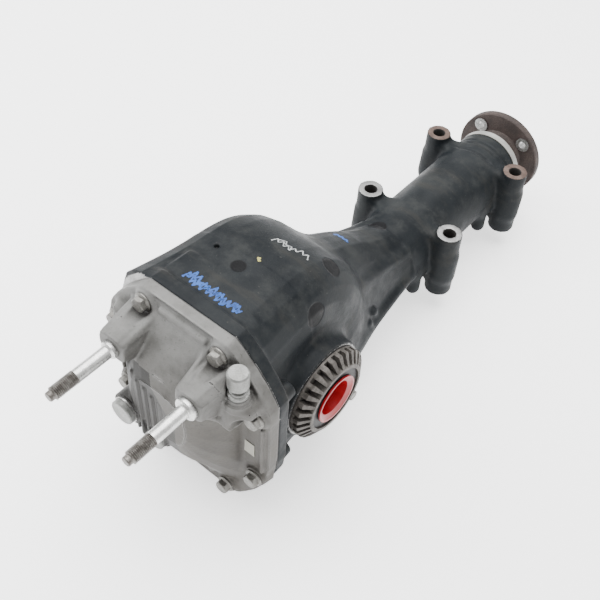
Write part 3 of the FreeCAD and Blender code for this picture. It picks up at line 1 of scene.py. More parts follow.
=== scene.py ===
"""Rear-axle differential gear assembly: cast carrier, ribbed cover, studs and finishes over the CAD model."""

import math

import bpy
import numpy as np
from mathutils import Matrix, Vector
from mathutils.bvhtree import BVHTree


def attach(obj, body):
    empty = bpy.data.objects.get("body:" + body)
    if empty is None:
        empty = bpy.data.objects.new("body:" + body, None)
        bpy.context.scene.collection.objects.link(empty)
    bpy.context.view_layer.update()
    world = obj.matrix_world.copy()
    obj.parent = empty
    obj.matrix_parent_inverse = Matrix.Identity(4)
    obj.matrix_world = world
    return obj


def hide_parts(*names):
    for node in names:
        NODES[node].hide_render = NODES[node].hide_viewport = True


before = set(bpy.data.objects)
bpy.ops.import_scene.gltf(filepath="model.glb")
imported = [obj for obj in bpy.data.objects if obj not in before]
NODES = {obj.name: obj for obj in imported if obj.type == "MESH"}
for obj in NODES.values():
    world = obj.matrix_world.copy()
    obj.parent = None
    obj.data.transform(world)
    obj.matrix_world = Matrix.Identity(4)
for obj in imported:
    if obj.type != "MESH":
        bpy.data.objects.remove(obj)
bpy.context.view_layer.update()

# The castings are drawn in millimetres in the axle frame: X along the axle, Y towards the nose, Z up.
AXLE = np.array([0.0, -126.5, 107.0])
PINION_Z = -42.0
BOSS_X, BOSS_Y = 50, (240, 370)
LOCK_BOSS = (38.4, -42.7)
STUD_X, STUD_Z, STUD_PAD = 41.5, 70.5, -121


def place(points):
    """Millimetres in the axle frame to metres in the row frame."""
    return (np.asarray(points, float) + AXLE) / 1000.0


# ---------------------------------------------------------------- distance fields


def smooth_min(a, b, k):
    """The smaller of two distances, rounded over k millimetres where they meet."""
    if k <= 0:
        return np.minimum(a, b)
    h = np.maximum(k - np.abs(a - b), 0.0) / k
    return np.minimum(a, b) - h * h * k * 0.25


def polygon_distance(u, v, corners):
    """Signed distance to a closed polygon, negative inside."""
    u, v = np.broadcast_arrays(u, v)
    best = np.full(u.shape, 1e9, np.float32)
    inside = np.zeros(u.shape, bool)
    for (ax, ay), (bx, by) in zip(corners, np.roll(corners, -1, 0)):
        ex, ey = bx - ax, by - ay
        wx, wy = u - ax, v - ay
        t = np.clip((wx * ex + wy * ey) / (ex * ex + ey * ey + 1e-9), 0, 1)
        dx, dy = wx - ex * t, wy - ey * t
        best = np.minimum(best, dx * dx + dy * dy)
        if ay != by:
            crosses = (ay > v) != (by > v)
            inside ^= crosses & (u < ex * (v - ay) / ey + ax)
    return np.where(inside, -1, 1) * np.sqrt(best)


def chaikin(corners, times=1):
    """Cuts a closed polygon's corners."""
    corners = np.asarray(corners, float)
    for _ in range(times):
        after = np.roll(corners, -1, 0)
        corners = np.stack([corners * 0.75 + after * 0.25, corners * 0.25 + after * 0.75], 1).reshape(-1, 2)
    return corners


def mirrored(points):
    """Points on the +X side from top to bottom, then the same on the -X side."""
    return [tuple(p) for p in points] + [(-x, z) for x, z in reversed(points) if x > 0.01]


def caps(across, along, low, high):
    """Joins a distance across an axis with flat ends along it."""
    end = np.abs(along - (low + high) / 2) - (high - low) / 2
    outside = np.sqrt(np.maximum(across, 0) ** 2 + np.maximum(end, 0) ** 2)
    return np.minimum(np.maximum(across, end), 0) + outside


def cylinder(axis, centre, radius, low, high, end_radius=None):
    """A cylinder or cone along X, Y or Z; centre gives its place on the other two axes."""
    others = [i for i in range(3) if i != axis]

    def distance(p):
        r = radius
        if end_radius is not None:
            r = radius + (end_radius - radius) * np.clip((p[axis] - low) / (high - low), 0, 1)
        rho = np.sqrt((p[others[0]] - centre[0]) ** 2 + (p[others[1]] - centre[1]) ** 2)
        return caps(rho - r, p[axis], low, high)

    reach = max(radius, end_radius or 0)
    box = np.zeros((2, 3))
    for i, c in zip(others, centre):
        box[:, i] = c - reach, c + reach
    box[:, axis] = low, high
    return distance, box


def block(centre, half, corner):
    """A rounded box."""
    def distance(p):
        q = [np.abs(p[i] - centre[i]) - (half[i] - corner) for i in range(3)]
        outside = np.sqrt(sum(np.maximum(v, 0) ** 2 for v in q))
        return outside + np.minimum(np.maximum(np.maximum(q[0], q[1]), q[2]), 0) - corner

    return distance, np.array([np.subtract(centre, half), np.add(centre, half)])


def capsule(a, b, radius, end_radius=None):
    """A rounded bar between two points."""
    a, b = np.array(a, float), np.array(b, float)
    end_radius = radius if end_radius is None else end_radius

    def distance(p):
        w = [p[i] - a[i] for i in range(3)]
        e = b - a
        t = np.clip(sum(w[i] * e[i] for i in range(3)) / (e @ e), 0, 1)
        return np.sqrt(sum((w[i] - e[i] * t) ** 2 for i in range(3))) - (radius + (end_radius - radius) * t)

    reach = max(radius, end_radius)
    return distance, np.array([np.minimum(a, b) - reach, np.maximum(a, b) + reach])


def plate(corners, low, high, ease=0.0):
    """A plate across Y with that outline."""
    corners = np.asarray(corners, float)

    def distance(p):
        return caps(polygon_distance(p[0], p[2], corners), p[1], low, high) - ease

    box = np.array([[corners[:, 0].min(), low, corners[:, 1].min()],
                    [corners[:, 0].max(), high, corners[:, 1].max()]])
    return distance, box


def turned(profile):
    """A shape turned about the axle from (x, radius) pairs."""
    corners = np.array([(profile[0][0], -5)] + list(profile) + [(profile[-1][0], -5)], float)

    def distance(p):
        return polygon_distance(p[0] + 0 * p[1] * p[2], np.sqrt(p[1] ** 2 + p[2] ** 2) + 0 * p[0], corners)

    r = corners[:, 1].max()
    return distance, np.array([[corners[:, 0].min(), -r, -r], [corners[:, 0].max(), r, r]])


def swept(stations, cuts=1, ease=0.0):
    """A shape along Y whose outline goes smoothly through stations of (y, outline)."""
    at = np.array([s[0] for s in stations], float)
    outlines = np.array([chaikin(s[1], cuts) for s in stations])
    slopes = np.gradient(outlines, at, axis=0)

    def outline(y):
        i = int(np.clip(np.searchsorted(at, y) - 1, 0, len(at) - 2))
        h = at[i + 1] - at[i]
        t = (y - at[i]) / h
        a, b, c, d = 2 * t**3 - 3 * t**2 + 1, t**3 - 2 * t**2 + t, 3 * t**2 - 2 * t**3, t**3 - t**2
        return outlines[i] * a + slopes[i] * h * b + outlines[i + 1] * c + slopes[i + 1] * h * d

    def distance(p):
        x, y, z = p
        result = np.empty(np.broadcast_shapes(x.shape, y.shape, z.shape), np.float32)
        for j, station in enumerate(y.ravel()):
            inside = float(np.clip(station, at[0], at[-1]))
            flat = polygon_distance(x[:, 0], z[0], outline(inside))
            result[:, j] = caps(flat, station, at[0], at[-1]) - ease
        return result

    spread = outlines.reshape(-1, 2)
    low, high = spread.min(0), spread.max(0)
    return distance, np.array([[low[0], at[0], low[1]], [high[0], at[-1], high[1]]])


class Field:
    """A grid of signed distances, in millimetres, that shapes are added to and cut from."""

    FAR = 40.0
    MARGIN = 14

    def __init__(self, low, high, step):
        self.low, self.step = np.array(low, float), step
        self.count = np.ceil((np.array(high) - self.low) / step).astype(int) + 1
        self.grid = np.full(self.count, self.FAR, np.float32)

    def window(self, box, margin):
        """The part of the grid round a box, and its cells' places along each axis."""
        first = np.clip(np.floor((box[0] - margin - self.low) / self.step).astype(int), 0, self.count)
        last = np.clip(np.ceil((box[1] + margin - self.low) / self.step).astype(int) + 1, 0, self.count)
        lines = []
        for i in range(3):
            shape = [1, 1, 1]
            shape[i] = -1
            line = self.low[i] + self.step * np.arange(first[i], last[i])
            lines.append(line.astype(np.float32).reshape(shape))
        return tuple(slice(a, b) for a, b in zip(first, last)), lines

    def add(self, shape, k=0.0):
        distance, box = shape
        where, lines = self.window(box, k + self.MARGIN)
        self.grid[where] = smooth_min(self.grid[where], distance(lines), k)

    def cut(self, shape, k=0.0):
        distance, box = shape
        where, lines = self.window(box, k + self.MARGIN)
        self.grid[where] = -smooth_min(-self.grid[where], distance(lines), k)

    def mesh(self, name):
        """The zero surface as a mesh of quads: a vertex in each cell that the surface crosses."""
        g = self.grid
        solid = g < 0
        total = np.zeros([n - 1 for n in g.shape] + [3], np.float32)
        hits = np.zeros([n - 1 for n in g.shape], np.float32)
        quads = []
        for axis in range(3):
            head = [slice(None)] * 3
            tail = [slice(None)] * 3
            head[axis], tail[axis] = slice(0, -1), slice(1, None)
            crossed = solid[tuple(head)] != solid[tuple(tail)]
            index = np.argwhere(crossed)
            a, b = g[tuple(head)][crossed], g[tuple(tail)][crossed]
            point = index.astype(np.float32)
            point[:, axis] += a / (a - b)
            others = [i for i in range(3) if i != axis]
            cells = []
            for du, dv in ((0, 0), (1, 0), (1, 1), (0, 1)):
                cell = index.copy()
                cell[:, others[0]] -= du
                cell[:, others[1]] -= dv
                cells.append(cell)
            cells = np.stack(cells, 1)
            limit = np.array(g.shape) - 1
            good = ((cells >= 0) & (cells < limit)).all((1, 2))
            cells, point = cells[good], point[good]
            for j in range(4):
                c = cells[:, j]
                np.add.at(total, (c[:, 0], c[:, 1], c[:, 2]), point)
                np.add.at(hits, (c[:, 0], c[:, 1], c[:, 2]), 1)
            flip = (a[good] > 0) != (axis == 1)
            cells[flip] = cells[flip][:, ::-1]
            quads.append(cells)
        used = hits > 0
        number = np.full(hits.shape, -1, np.int64)
        number[used] = np.arange(used.sum())
        points = total[used] / hits[used][:, None] * self.step + self.low
        quads = np.concatenate(quads)
        faces = number[quads[..., 0], quads[..., 1], quads[..., 2]]
        mesh = bpy.data.meshes.new(name)
        mesh.vertices.add(len(points))
        mesh.vertices.foreach_set("co", place(points).ravel())
        mesh.loops.add(faces.size)
        mesh.loops.foreach_set("vertex_index", faces.ravel())
        mesh.polygons.add(len(faces))
        mesh.polygons.foreach_set("loop_start", np.arange(0, faces.size, 4))
        mesh.polygons.foreach_set("loop_total", np.full(len(faces), 4))
        mesh.update(calc_edges=True)
        mesh.validate()
        mesh.shade_smooth()
        made = bpy.data.objects.new(name, mesh)
        bpy.context.scene.collection.objects.link(made)
        return made


# ---------------------------------------------------------------- carrier

RIM = mirrored([(38, 108), (46, 108), (72, 84), (87, 61), (88, 52), (88, -16),
                (86, -32), (78, -58), (58, -88), (50, -96), (38, -98)])
DOME = [(-73, 60), (-72.5, 76), (-69, 87), (-62, 95), (-52, 100.4), (-38, 103), (-20, 103.6),
        (14, 103.6), (32, 101.8), (43, 97), (52, 89), (58, 78), (60.5, 64), (61, 50)]
COVER_BOLTS = mirrored([(40, 97), (77, 50), (76, -37), (43, -85)])
STEP = 1.15


def dome_run():
    """The chamber from the axle back to the rim, as outlines across Y."""
    def ring(wide, tall, y):
        upper = [(x * wide, r * tall) for x, r in DOME]
        lower = [(x * wide, -r * min(tall, 1.0)) for x, r in reversed(DOME)]
        return y, upper + lower

    return swept([ring(1.13, 1.035, -70), ring(1.05, 1.015, -35), ring(1.0, 1.0, 0)], 0)


def neck():
    """The tall wedge between the chamber and the nose tube; its corners leave the two ridges."""
    low = PINION_Z
    return swept([
        (10, mirrored([(0, 74), (24, 70), (44, 44), (53, 5), (58, low), (55, -68), (38, -86), (0, -94)])),
        (52, mirrored([(0, 73), (22, 69), (42, 42), (52, 5), (58, low), (55, -67), (38, -85), (0, -93)])),
        (88, mirrored([(0, 60), (18, 57), (36, 34), (48, 2), (57, low), (53, -66), (36, -83), (0, -91)])),
        (122, mirrored([(0, 42), (16, 39), (30, 20), (39, -7), (46, low), (43, -62), (30, -78), (0, -86)])),
        (160, mirrored([(0, 16), (14, 14), (27, -1), (35, -20), (39, low), (36, -60), (24, -73), (0, -80)])),
        (200, mirrored([(0, -4), (13, -6), (25, -15), (33, -27), (36, low), (34, -58), (22, -72), (0, -78)])),
    ], 1, 1.5)


def carrier():
    """The carrier casting: chamber, rim, side bosses, neck, nose tube, mounting bosses and its openings."""
    f = Field((-92, -74, -110), (92, 404, 112), STEP)
    f.add(neck())
    f.add(turned(DOME), 9)
    f.add(dome_run(), 2)
    f.add(plate(chaikin(RIM, 1), -70.5, -60.5, 0.5), 7)
    for x, z in COVER_BOLTS:
        f.add(cylinder(1, (x * 0.985, z * 0.975), 9.5, -70, -46, 7.5), 6)
    # side bosses
    for s in (1, -1):
        radii = (51, 46.8)[::s]
        f.add(cylinder(0, (0, 0), radii[0], *sorted((s * 30, s * 77.6)), radii[1]), 9)
        f.add(cylinder(0, LOCK_BOSS, 8.2, *sorted((s * 56, s * 77.7))), 5)
    # nose tube, shoulder and end collar
    f.add(cylinder(1, (0, PINION_Z), 39.6, 199, 363), 3)
    f.add(cylinder(1, (0, PINION_Z), 38.4, 355, 400.6), 2)
    f.cut(ring_groove(366.5, 37.2, 1.6), 1)
    f.cut(ring_groove(381, 37.9, 0.8), 1)
    f.cut(ring_groove(388, 37.9, 0.8), 1)
    f.add(block((0, 282, -82), (6, 80, 5), 2.5), 5)
    f.add(block((0, 0, -101), (28, 28, 5.4), 2), 4)
    # mounting bosses, their webs and feet
    for s in (1, -1):
        for y in BOSS_Y:
            f.add(block((s * 33, y, -26), (17, 10.5, 15), 5), 7)
            f.add(block((s * 26, y - 1, -56), (20, 8, 20), 5), 8)
            f.add(capsule((s * 31, y - 22, -55), (s * 33, y - 24, -78), 8, 7.5), 7)
            f.add(capsule((s * 31, y - 22, -55), (s * 36, y - 6, -50), 8, 7), 7)
            f.add(cylinder(2, (s * BOSS_X, y), 14.2, -83.8, -5.2, 13.3), 5)
            f.add(capsule((s * 54, y, -36), (s * 53.5, y - 2, -60), 10.8, 11.6), 5)
    # ribs that run from the chamber to the nose, and small casting lugs
    for s in (1, -1):
        f.add(capsule((s * 36, 84, 20), (s * 27, 196, -15), 5.5, 4), 9)
        f.add(capsule((s * 55, 60, -40), (s * 37, 200, -44), 6, 4), 9)
        f.add(capsule((s * 46, 118, -24), (s * 43, 124, -34), 4.5), 3)
        f.add(capsule((s * 49, 108, -30), (s * 49, 110, -38), 4), 3)
    f.add(cylinder(2, (-35, -8.6), 7, 90, 101.8), 3)
    f.cut(cylinder(2, (-35, -8.6), 2.2, 100.2, 104), 0.8)
    f.add(block((-32, -40, 102.6), (15, 13, 2.6), 2), 4)
    # openings and machined holes
    f.cut(turned([(-66, 66), (-56, 70), (-53, 83.5), (-12, 83.5), (20, 74), (40, 60), (50, 40)]), 0)
    f.cut(plate(mirrored([(48, 82), (57, 64), (59, 40), (59, -24), (54, -51), (42, -76)]), -80, -28), 0)
    f.cut(cylinder(0, (0, 0), 42.1, -95, 95))
    for radius, low, high in ((37.5, 0, 79), (36.1, 78, 102), (27, 100, 153),
                              (31.1, 150, 170.5), (24, 165, 372), (31.1, 368, 420)):
        f.cut(cylinder(1, (0, PINION_Z), radius, low, high))
    for s in (1, -1):
        for y in BOSS_Y:
            f.cut(cylinder(2, (s * BOSS_X, y), 6.5, -130, 30), 0.7)
        f.cut(cylinder(0, LOCK_BOSS, 3.1, *sorted((s * 66, s * 90))))
        f.cut(cylinder(0, (0, 0), 45.6, *sorted((s * 77.9, s * 100))), 0.8)
    for x, z in COVER_BOLTS:
        f.cut(cylinder(1, (x, z), 4.1, -90, -57))
    return f.mesh("carrier_casting")


def ring_groove(y, radius, half):
    """A groove round the nose."""
    def distance(p):
        rho = np.sqrt(p[0] ** 2 + (p[2] - PINION_Z) ** 2)
        return np.sqrt((rho - radius - half) ** 2 + (p[1] - y) ** 2) - half * 1.5

    reach = radius + 4
    return distance, np.array([[-reach, y - 4, PINION_Z - reach], [reach, y + 4, PINION_Z + reach]])


# ---------------------------------------------------------------- cover

COVER_DOME = [
    (-117.5, [(0, 50), (20, 48), (29, 38), (31, 14), (26, -4), (14, -10), (0, -12)]),
    (-113, [(0, 59), (26, 57), (36, 44), (39, 8), (33, -18), (20, -28), (0, -30)]),
    (-104, [(0, 73), (32, 70), (46, 50), (50, 0), (43, -34), (28, -42), (0, -44)]),
    (-94, [(0, 87), (40, 84), (55, 52), (56, -10), (49, -50), (32, -62), (0, -65)]),
    (-84, [(0, 99), (46, 96), (60, 56), (60, -24), (54, -62), (38, -79), (0, -83)]),
    (-74.5, [(0, 100), (48, 97), (62, 56), (62, -26), (55, -66), (40, -83), (0, -88)]),
]
ARM = [
    (-120.9, [(13, 83), (14, 72), (12, 60), (-12, 60), (-14, 72), (-13, 83)]),
    (-104, [(16, 88), (18, 72), (15, 52), (-13, 54), (-15, 70), (-14, 88)]),
    (-84, [(21, 92), (25, 72), (20, 42), (-13, 48), (-16, 68), (-15, 92)]),
    (-76, [(23, 94), (27, 72), (22, 38), (-13, 46), (-16, 68), (-15, 94)]),
]
FILL, DRAIN, VENT = (-40, -118, -14), (-26, -100, -60), (64.4, -91.6)


def cover():
    """The cover casting: rim, domed middle, stud arms, breather boss, plug bosses, ribs and its hollow."""
    f = Field((-90, -124, -102), (90, -69, 112), min(STEP, 1.0))
    front, rear = -71.6, -82.6
    f.add(plate(chaikin(RIM, 1), rear + 0.6, front - 0.4, 0.4), 0)
    f.add(swept([(y, mirrored(outline)) for y, outline in COVER_DOME], 1, 0.5), 4)
    # raised ledge along the top between the bolts, with a shallow gutter above it
    f.add(capsule((-22, -84.5, 99), (24, -84.5, 99), 2.6), 3)
    f.cut(block((0, -84, 105.4), (31, 3.4, 1.2), 1.1), 1.5)
    for s in (1, -1):
        arm = s * STUD_X
        f.add(swept([(y, [(arm + x, z) for x, z in outline]) for y, outline in ARM], 1, 0), 3.5)
        f.add(cylinder(1, (arm, STUD_Z), 13.2, STUD_PAD, -104, 15.5), 2.5)
        # the arm's raised shoulder and the web under it
        f.add(capsule((s * 27, -86, 91), (s * 29.5, -117, 80), 2.6, 2.2), 3)
        f.add(capsule((s * 27, -86, 91), (s * 27, -104, 68), 2.4, 2.0), 3)
        f.add(capsule((s * 53, -84, 86), (s * 52, -116, 74), 3.0, 2.4), 4)
        f.add(capsule((s * 57, -92, 36), (s * 50, -112, 58), 4.0, 3.0), 5)
        # the flank's upright steps and the ridge near the rim's edge
        f.add(capsule((s * 44, -101, -2), (s * 35, -95, -58), 2.4, 2.0), 3)
        f.add(capsule((s * 51, -93, 2), (s * 43, -88, -62), 2.2, 1.8), 3)
        f.add(capsule((s * 82, rear - 1.2, 36), (s * 82, rear - 1.2, -24), 1.7), 2)
    # shelf that ties the breather boss to the arm
    f.add(block((62, -88, 58), (19, 10, 14), 6), 7)
    f.add(block((-60, -86, 58), (16, 7, 14), 6), 7)
    f.add(cylinder(2, (63.6, -91), 14.5, 44, 71, 11.6), 4)
    f.add(cylinder(2, VENT, 11.8, 66, 74.5), 1.2)
    f.add(cylinder(2, VENT, 9.8, 70, 77.8), 0.8)
    # low fins over the middle of the dome, where the cover has painted shade
    for i in range(7):
        x = -37 + 8.0 * i
        top, foot = 52 - 3.6 * i, -34 + i
        middle = (x, -104.5 + 0.012 * (x + 12) ** 2, (top + foot) / 2)
        f.add(block(middle, (1.3, 16.2, (top - foot) / 2), 1.0), 1.6)
    f.cut(block((0, -127.6, 0), (90, 8, 60), 0.5), 0)
    f.add(cylinder(1, (FILL[0], FILL[2]), 15.5, FILL[1], -96), 2.5)
    f.add(cylinder(1, (DRAIN[0], DRAIN[2]), 15.0, DRAIN[1], -84), 2.5)
    for x, z in COVER_BOLTS:
        f.add(cylinder(1, (x, z), 9.6, -86, -74, 11.8), 3.5)
    # hollow
    inside = [(y + 5.5, mirrored([(x * 0.9, 4 + (z - 4) * 0.9) for x, z in outline]))
              for y, outline in COVER_DOME]
    f.cut(swept(inside, 1, 0))
    for s in (1, -1):
        f.cut(cylinder(1, (s * STUD_X, STUD_Z), 6.1, -125, -96))
    f.cut(cylinder(2, VENT, 4.2, 54, 90))
    f.cut(cylinder(2, VENT, 9.2, 77.9, 112), 0.5)
    for x, y, z in (FILL, DRAIN):
        f.cut(cylinder(1, (x, z), 9.1, y - 20, y + 22))
        f.cut(cylinder(1, (x, z), 13.6, y - 20, y), 0.4)
    for x, z in COVER_BOLTS:
        f.cut(cylinder(1, (x, z), 4.4, -92, -60))
        f.cut(cylinder(1, (x, z), 10.4, -130, -86.05), 0.8)
    return f.mesh("cover_casting")


# ---------------------------------------------------------------- small hardware


def thread_mesh(name, rows, pitch, depth, at, towards):
    """A turned part along an axis from (along, radius, threaded) rows, with a helical thread where asked."""
    sides = 96
    along, radius, threaded = (np.array(c, float) for c in zip(*rows))
    stations = []
    for i in range(len(rows) - 1):
        gap = along[i + 1] - along[i]
        count = max(1, int(math.ceil(abs(gap) / (pitch / 8)))) if threaded[i] and threaded[i + 1] else 1
        for j in range(count):
            t = j / count
            stations.append((along[i] + gap * t, radius[i] + (radius[i + 1] - radius[i]) * t,
                             threaded[i] and threaded[i + 1]))
    stations.append((along[-1], radius[-1], False))
    turn = np.linspace(0, 2 * math.pi, sides, endpoint=False)
    verts, faces = [], []
    for a, r, cut in stations:
        wave = np.abs(((a / pitch - turn / (2 * math.pi)) % 1.0) * 2 - 1) if cut else 0 * turn
        r_here = r - depth * np.clip(wave * 1.25 - 0.12, 0, 1)
        verts += [(a, rr * math.cos(t), rr * math.sin(t)) for rr, t in zip(r_here, turn)]
    for i in range(len(stations) - 1):
        for j in range(sides):
            k = (j + 1) % sides
            faces.append((i * sides + j, i * sides + k, (i + 1) * sides + k, (i + 1) * sides + j))
    faces.append(list(range(sides))[::-1])
    faces.append([(len(stations) - 1) * sides + j for j in range(sides)])
    mesh = bpy.data.meshes.new(name)
    mesh.from_pydata(verts, [], faces)
    made = bpy.data.objects.new(name, mesh)
    bpy.context.scene.collection.objects.link(made)
    turn = Vector((1, 0, 0)).rotation_difference(Vector(towards)).to_matrix().to_4x4()
    move = Matrix.Translation(Vector(place(at)))
    mesh.transform(move @ turn @ Matrix.Scale(0.001, 4))
    smooth_by_angle(made, 32)
    return made


def smooth_by_angle(obj, degrees):
    """Shades a mesh smooth but keeps its sharper edges."""
    mesh = obj.data
    mesh.shade_smooth()
    count = len(mesh.edges)
    faces_of = [[] for _ in range(count)]
    loop_edges = np.zeros(len(mesh.loops), int)
    mesh.loops.foreach_get("edge_index", loop_edges)
    normals = np.zeros(len(mesh.polygons) * 3)
    mesh.polygons.foreach_get("normal", normals)
    normals = normals.reshape(-1, 3)
    for poly in mesh.polygons:
        for e in loop_edges[poly.loop_start : poly.loop_start + poly.loop_total]:
            faces_of[e].append(poly.index)
    limit = math.cos(math.radians(degrees))
    sharp = [len(f) != 2 or float(normals[f[0]] @ normals[f[1]]) < limit for f in faces_of]
    mesh.edges.foreach_set("use_edge_sharp", sharp)


# ---------------------------------------------------------------- materials


def new_material(name):
    """An empty material, its tree, its shader and the place on the object that its textures use."""
    material = bpy.data.materials.new(name)
    material.use_nodes = True
    tree = material.node_tree
    for node in list(tree.nodes):
        tree.nodes.remove(node)
    out = tree.nodes.new("ShaderNodeOutputMaterial")
    shader = tree.nodes.new("ShaderNodeBsdfPrincipled")
    tree.links.new(shader.outputs[0], out.inputs[0])
    place_node = tree.nodes.new("ShaderNodeTexCoord")
    return material, tree, shader, place_node.outputs["Object"]


def noise(tree, coords, scale, detail=4.0, rough=0.55, stretch=None):
    """Cloudy noise from 0 to 1."""
    if stretch:
        mapping = tree.nodes.new("ShaderNodeMapping")
        mapping.inputs["Scale"].default_value = stretch
        tree.links.new(coords, mapping.inputs[0])
        coords = mapping.outputs[0]
    node = tree.nodes.new("ShaderNodeTexNoise")
    node.inputs["Scale"].default_value = scale
    node.inputs["Detail"].default_value = detail
    node.inputs["Roughness"].default_value = rough
    tree.links.new(coords, node.inputs["Vector"])
    return node.outputs["Fac"]


def ramp(tree, value, low, high, low_value=0.0, high_value=1.0):
    """Eases a value that goes from low to high into one from low_value to high_value."""
    node = tree.nodes.new("ShaderNodeMapRange")
    node.interpolation_type = "SMOOTHSTEP"
    tree.links.new(value, node.inputs[0])
    for i, v in enumerate((low, high, low_value, high_value)):
        node.inputs[i + 1].default_value = v
    return node.outputs[0]


# The stage is lit brightly so that its floor comes out pale, so every finish is mixed darker by this much.
TONE = 0.5


def mix(tree, factor, a, b):
    """A colour between two colours or two colour outputs."""
    node = tree.nodes.new("ShaderNodeMix")
    node.data_type = "RGBA"
    if isinstance(factor, (int, float)):
        node.inputs[0].default_value = factor
    else:
        tree.links.new(factor, node.inputs[0])
    for value, slot in ((a, 6), (b, 7)):
        if isinstance(value, tuple):
            node.inputs[slot].default_value = (*(c * TONE for c in value), 1.0)
        else:
            tree.links.new(value, node.inputs[slot])
    return node.outputs[2]


def maths(tree, kind, a, b):
    """A sum or product of two values, kept between 0 and 1."""
    node = tree.nodes.new("ShaderNodeMath")
    node.operation = kind
    node.use_clamp = True
    for i, value in enumerate((a, b)):
        if isinstance(value, (int, float)):
            node.inputs[i].default_value = value
        else:
            tree.links.new(value, node.inputs[i])
    return node.outputs[0]


def bump(tree, shader, heights, distance):
    """Bumps the surface by one or more (value, strength) pairs."""
    normal = None
    for value, strength in heights:
        node = tree.nodes.new("ShaderNodeBump")
        node.inputs["Strength"].default_value = strength
        node.inputs["Distance"].default_value = distance
        tree.links.new(value, node.inputs["Height"])
        if normal is not None:
            tree.links.new(normal, node.inputs["Normal"])
        normal = node.outputs[0]
    tree.links.new(normal, shader.inputs["Normal"])


def edge_wear(tree, radius):
    """How much an edge stands out: the angle between the flat normal and a rounded one."""
    bevel = tree.nodes.new("ShaderNodeBevel")
    bevel.samples = 4
    bevel.inputs["Radius"].default_value = radius
    geometry = tree.nodes.new("ShaderNodeNewGeometry")
    dot = tree.nodes.new("ShaderNodeVectorMath")
    dot.operation = "DOT_PRODUCT"
    tree.links.new(bevel.outputs[0], dot.inputs[0])
    tree.links.new(geometry.outputs["Normal"], dot.inputs[1])
    return ramp(tree, dot.outputs["Value"], 0.995, 0.86)


def facing_up(tree):
    """How far the surface faces up."""
    geometry = tree.nodes.new("ShaderNodeNewGeometry")
    split = tree.nodes.new("ShaderNodeSeparateXYZ")
    tree.links.new(geometry.outputs["Normal"], split.inputs[0])
    return split.outputs["Z"]


def spot(tree, where, centre, radius):
    """How much a place lies inside a round print on the skin; centre and radius in metres."""
    gap = tree.nodes.new("ShaderNodeVectorMath")
    gap.operation = "DISTANCE"
    tree.links.new(where, gap.inputs[0])
    gap.inputs[1].default_value = centre
    return ramp(tree, gap.outputs["Value"], radius + 0.0006, radius - 0.0012)


def painted_iron(prints):
    """Dark blue-grey paint on rough iron, dusty on top, rubbed grey in patches, with round ejector prints."""
    material, tree, shader, where = new_material("carrier paint")
    broad = noise(tree, where, 14, 5, 0.6)
    patch = noise(tree, where, 38, 6, 0.65)
    fine = noise(tree, where, 420, 3, 0.6)
    grain = noise(tree, where, 1100, 2, 0.5)
    base = mix(tree, ramp(tree, broad, 0.35, 0.68), (0.009, 0.012, 0.015), (0.024, 0.028, 0.031))
    dusty = maths(tree, "MULTIPLY", ramp(tree, patch, 0.42, 0.75),
                  ramp(tree, facing_up(tree), -0.2, 0.9, 0.2, 0.85))
    colour = mix(tree, dusty, base, (0.056, 0.059, 0.058))
    streak = noise(tree, where, 26, 5, 0.7, (0.35, 1.6, 1.0))
    colour = mix(tree, ramp(tree, streak, 0.52, 0.70, 0.0, 0.45), colour, (0.052, 0.050, 0.044))
    speck = ramp(tree, fine, 0.66, 0.74)
    colour = mix(tree, maths(tree, "MULTIPLY", speck, 0.35), colour, (0.13, 0.125, 0.115))
    worn = maths(tree, "MULTIPLY", edge_wear(tree, 0.003), ramp(tree, patch, 0.3, 0.6))
    colour = mix(tree, maths(tree, "MULTIPLY", worn, 0.5), colour, (0.12, 0.118, 0.11))
    prints_mask = None
    for centre, radius in prints:
        mask = spot(tree, where, centre, radius)
        prints_mask = mask if prints_mask is None else maths(tree, "ADD", prints_mask, mask)
    colour = mix(tree, maths(tree, "MULTIPLY", prints_mask, 0.9), colour, (0.003, 0.003, 0.004))
    tree.links.new(colour, shader.inputs["Base Color"])
    tree.links.new(ramp(tree, patch, 0.3, 0.75, 0.42, 0.68), shader.inputs["Roughness"])
    shader.inputs["Specular IOR Level"].default_value = 0.1
    sunk = maths(tree, "SUBTRACT", 1.0, prints_mask)
    lumps = noise(tree, where, 60, 4, 0.5)
    bump(tree, shader, [(lumps, 0.25), (fine, 0.22), (grain, 0.12), (sunk, 0.5)], 0.0008)
    return material


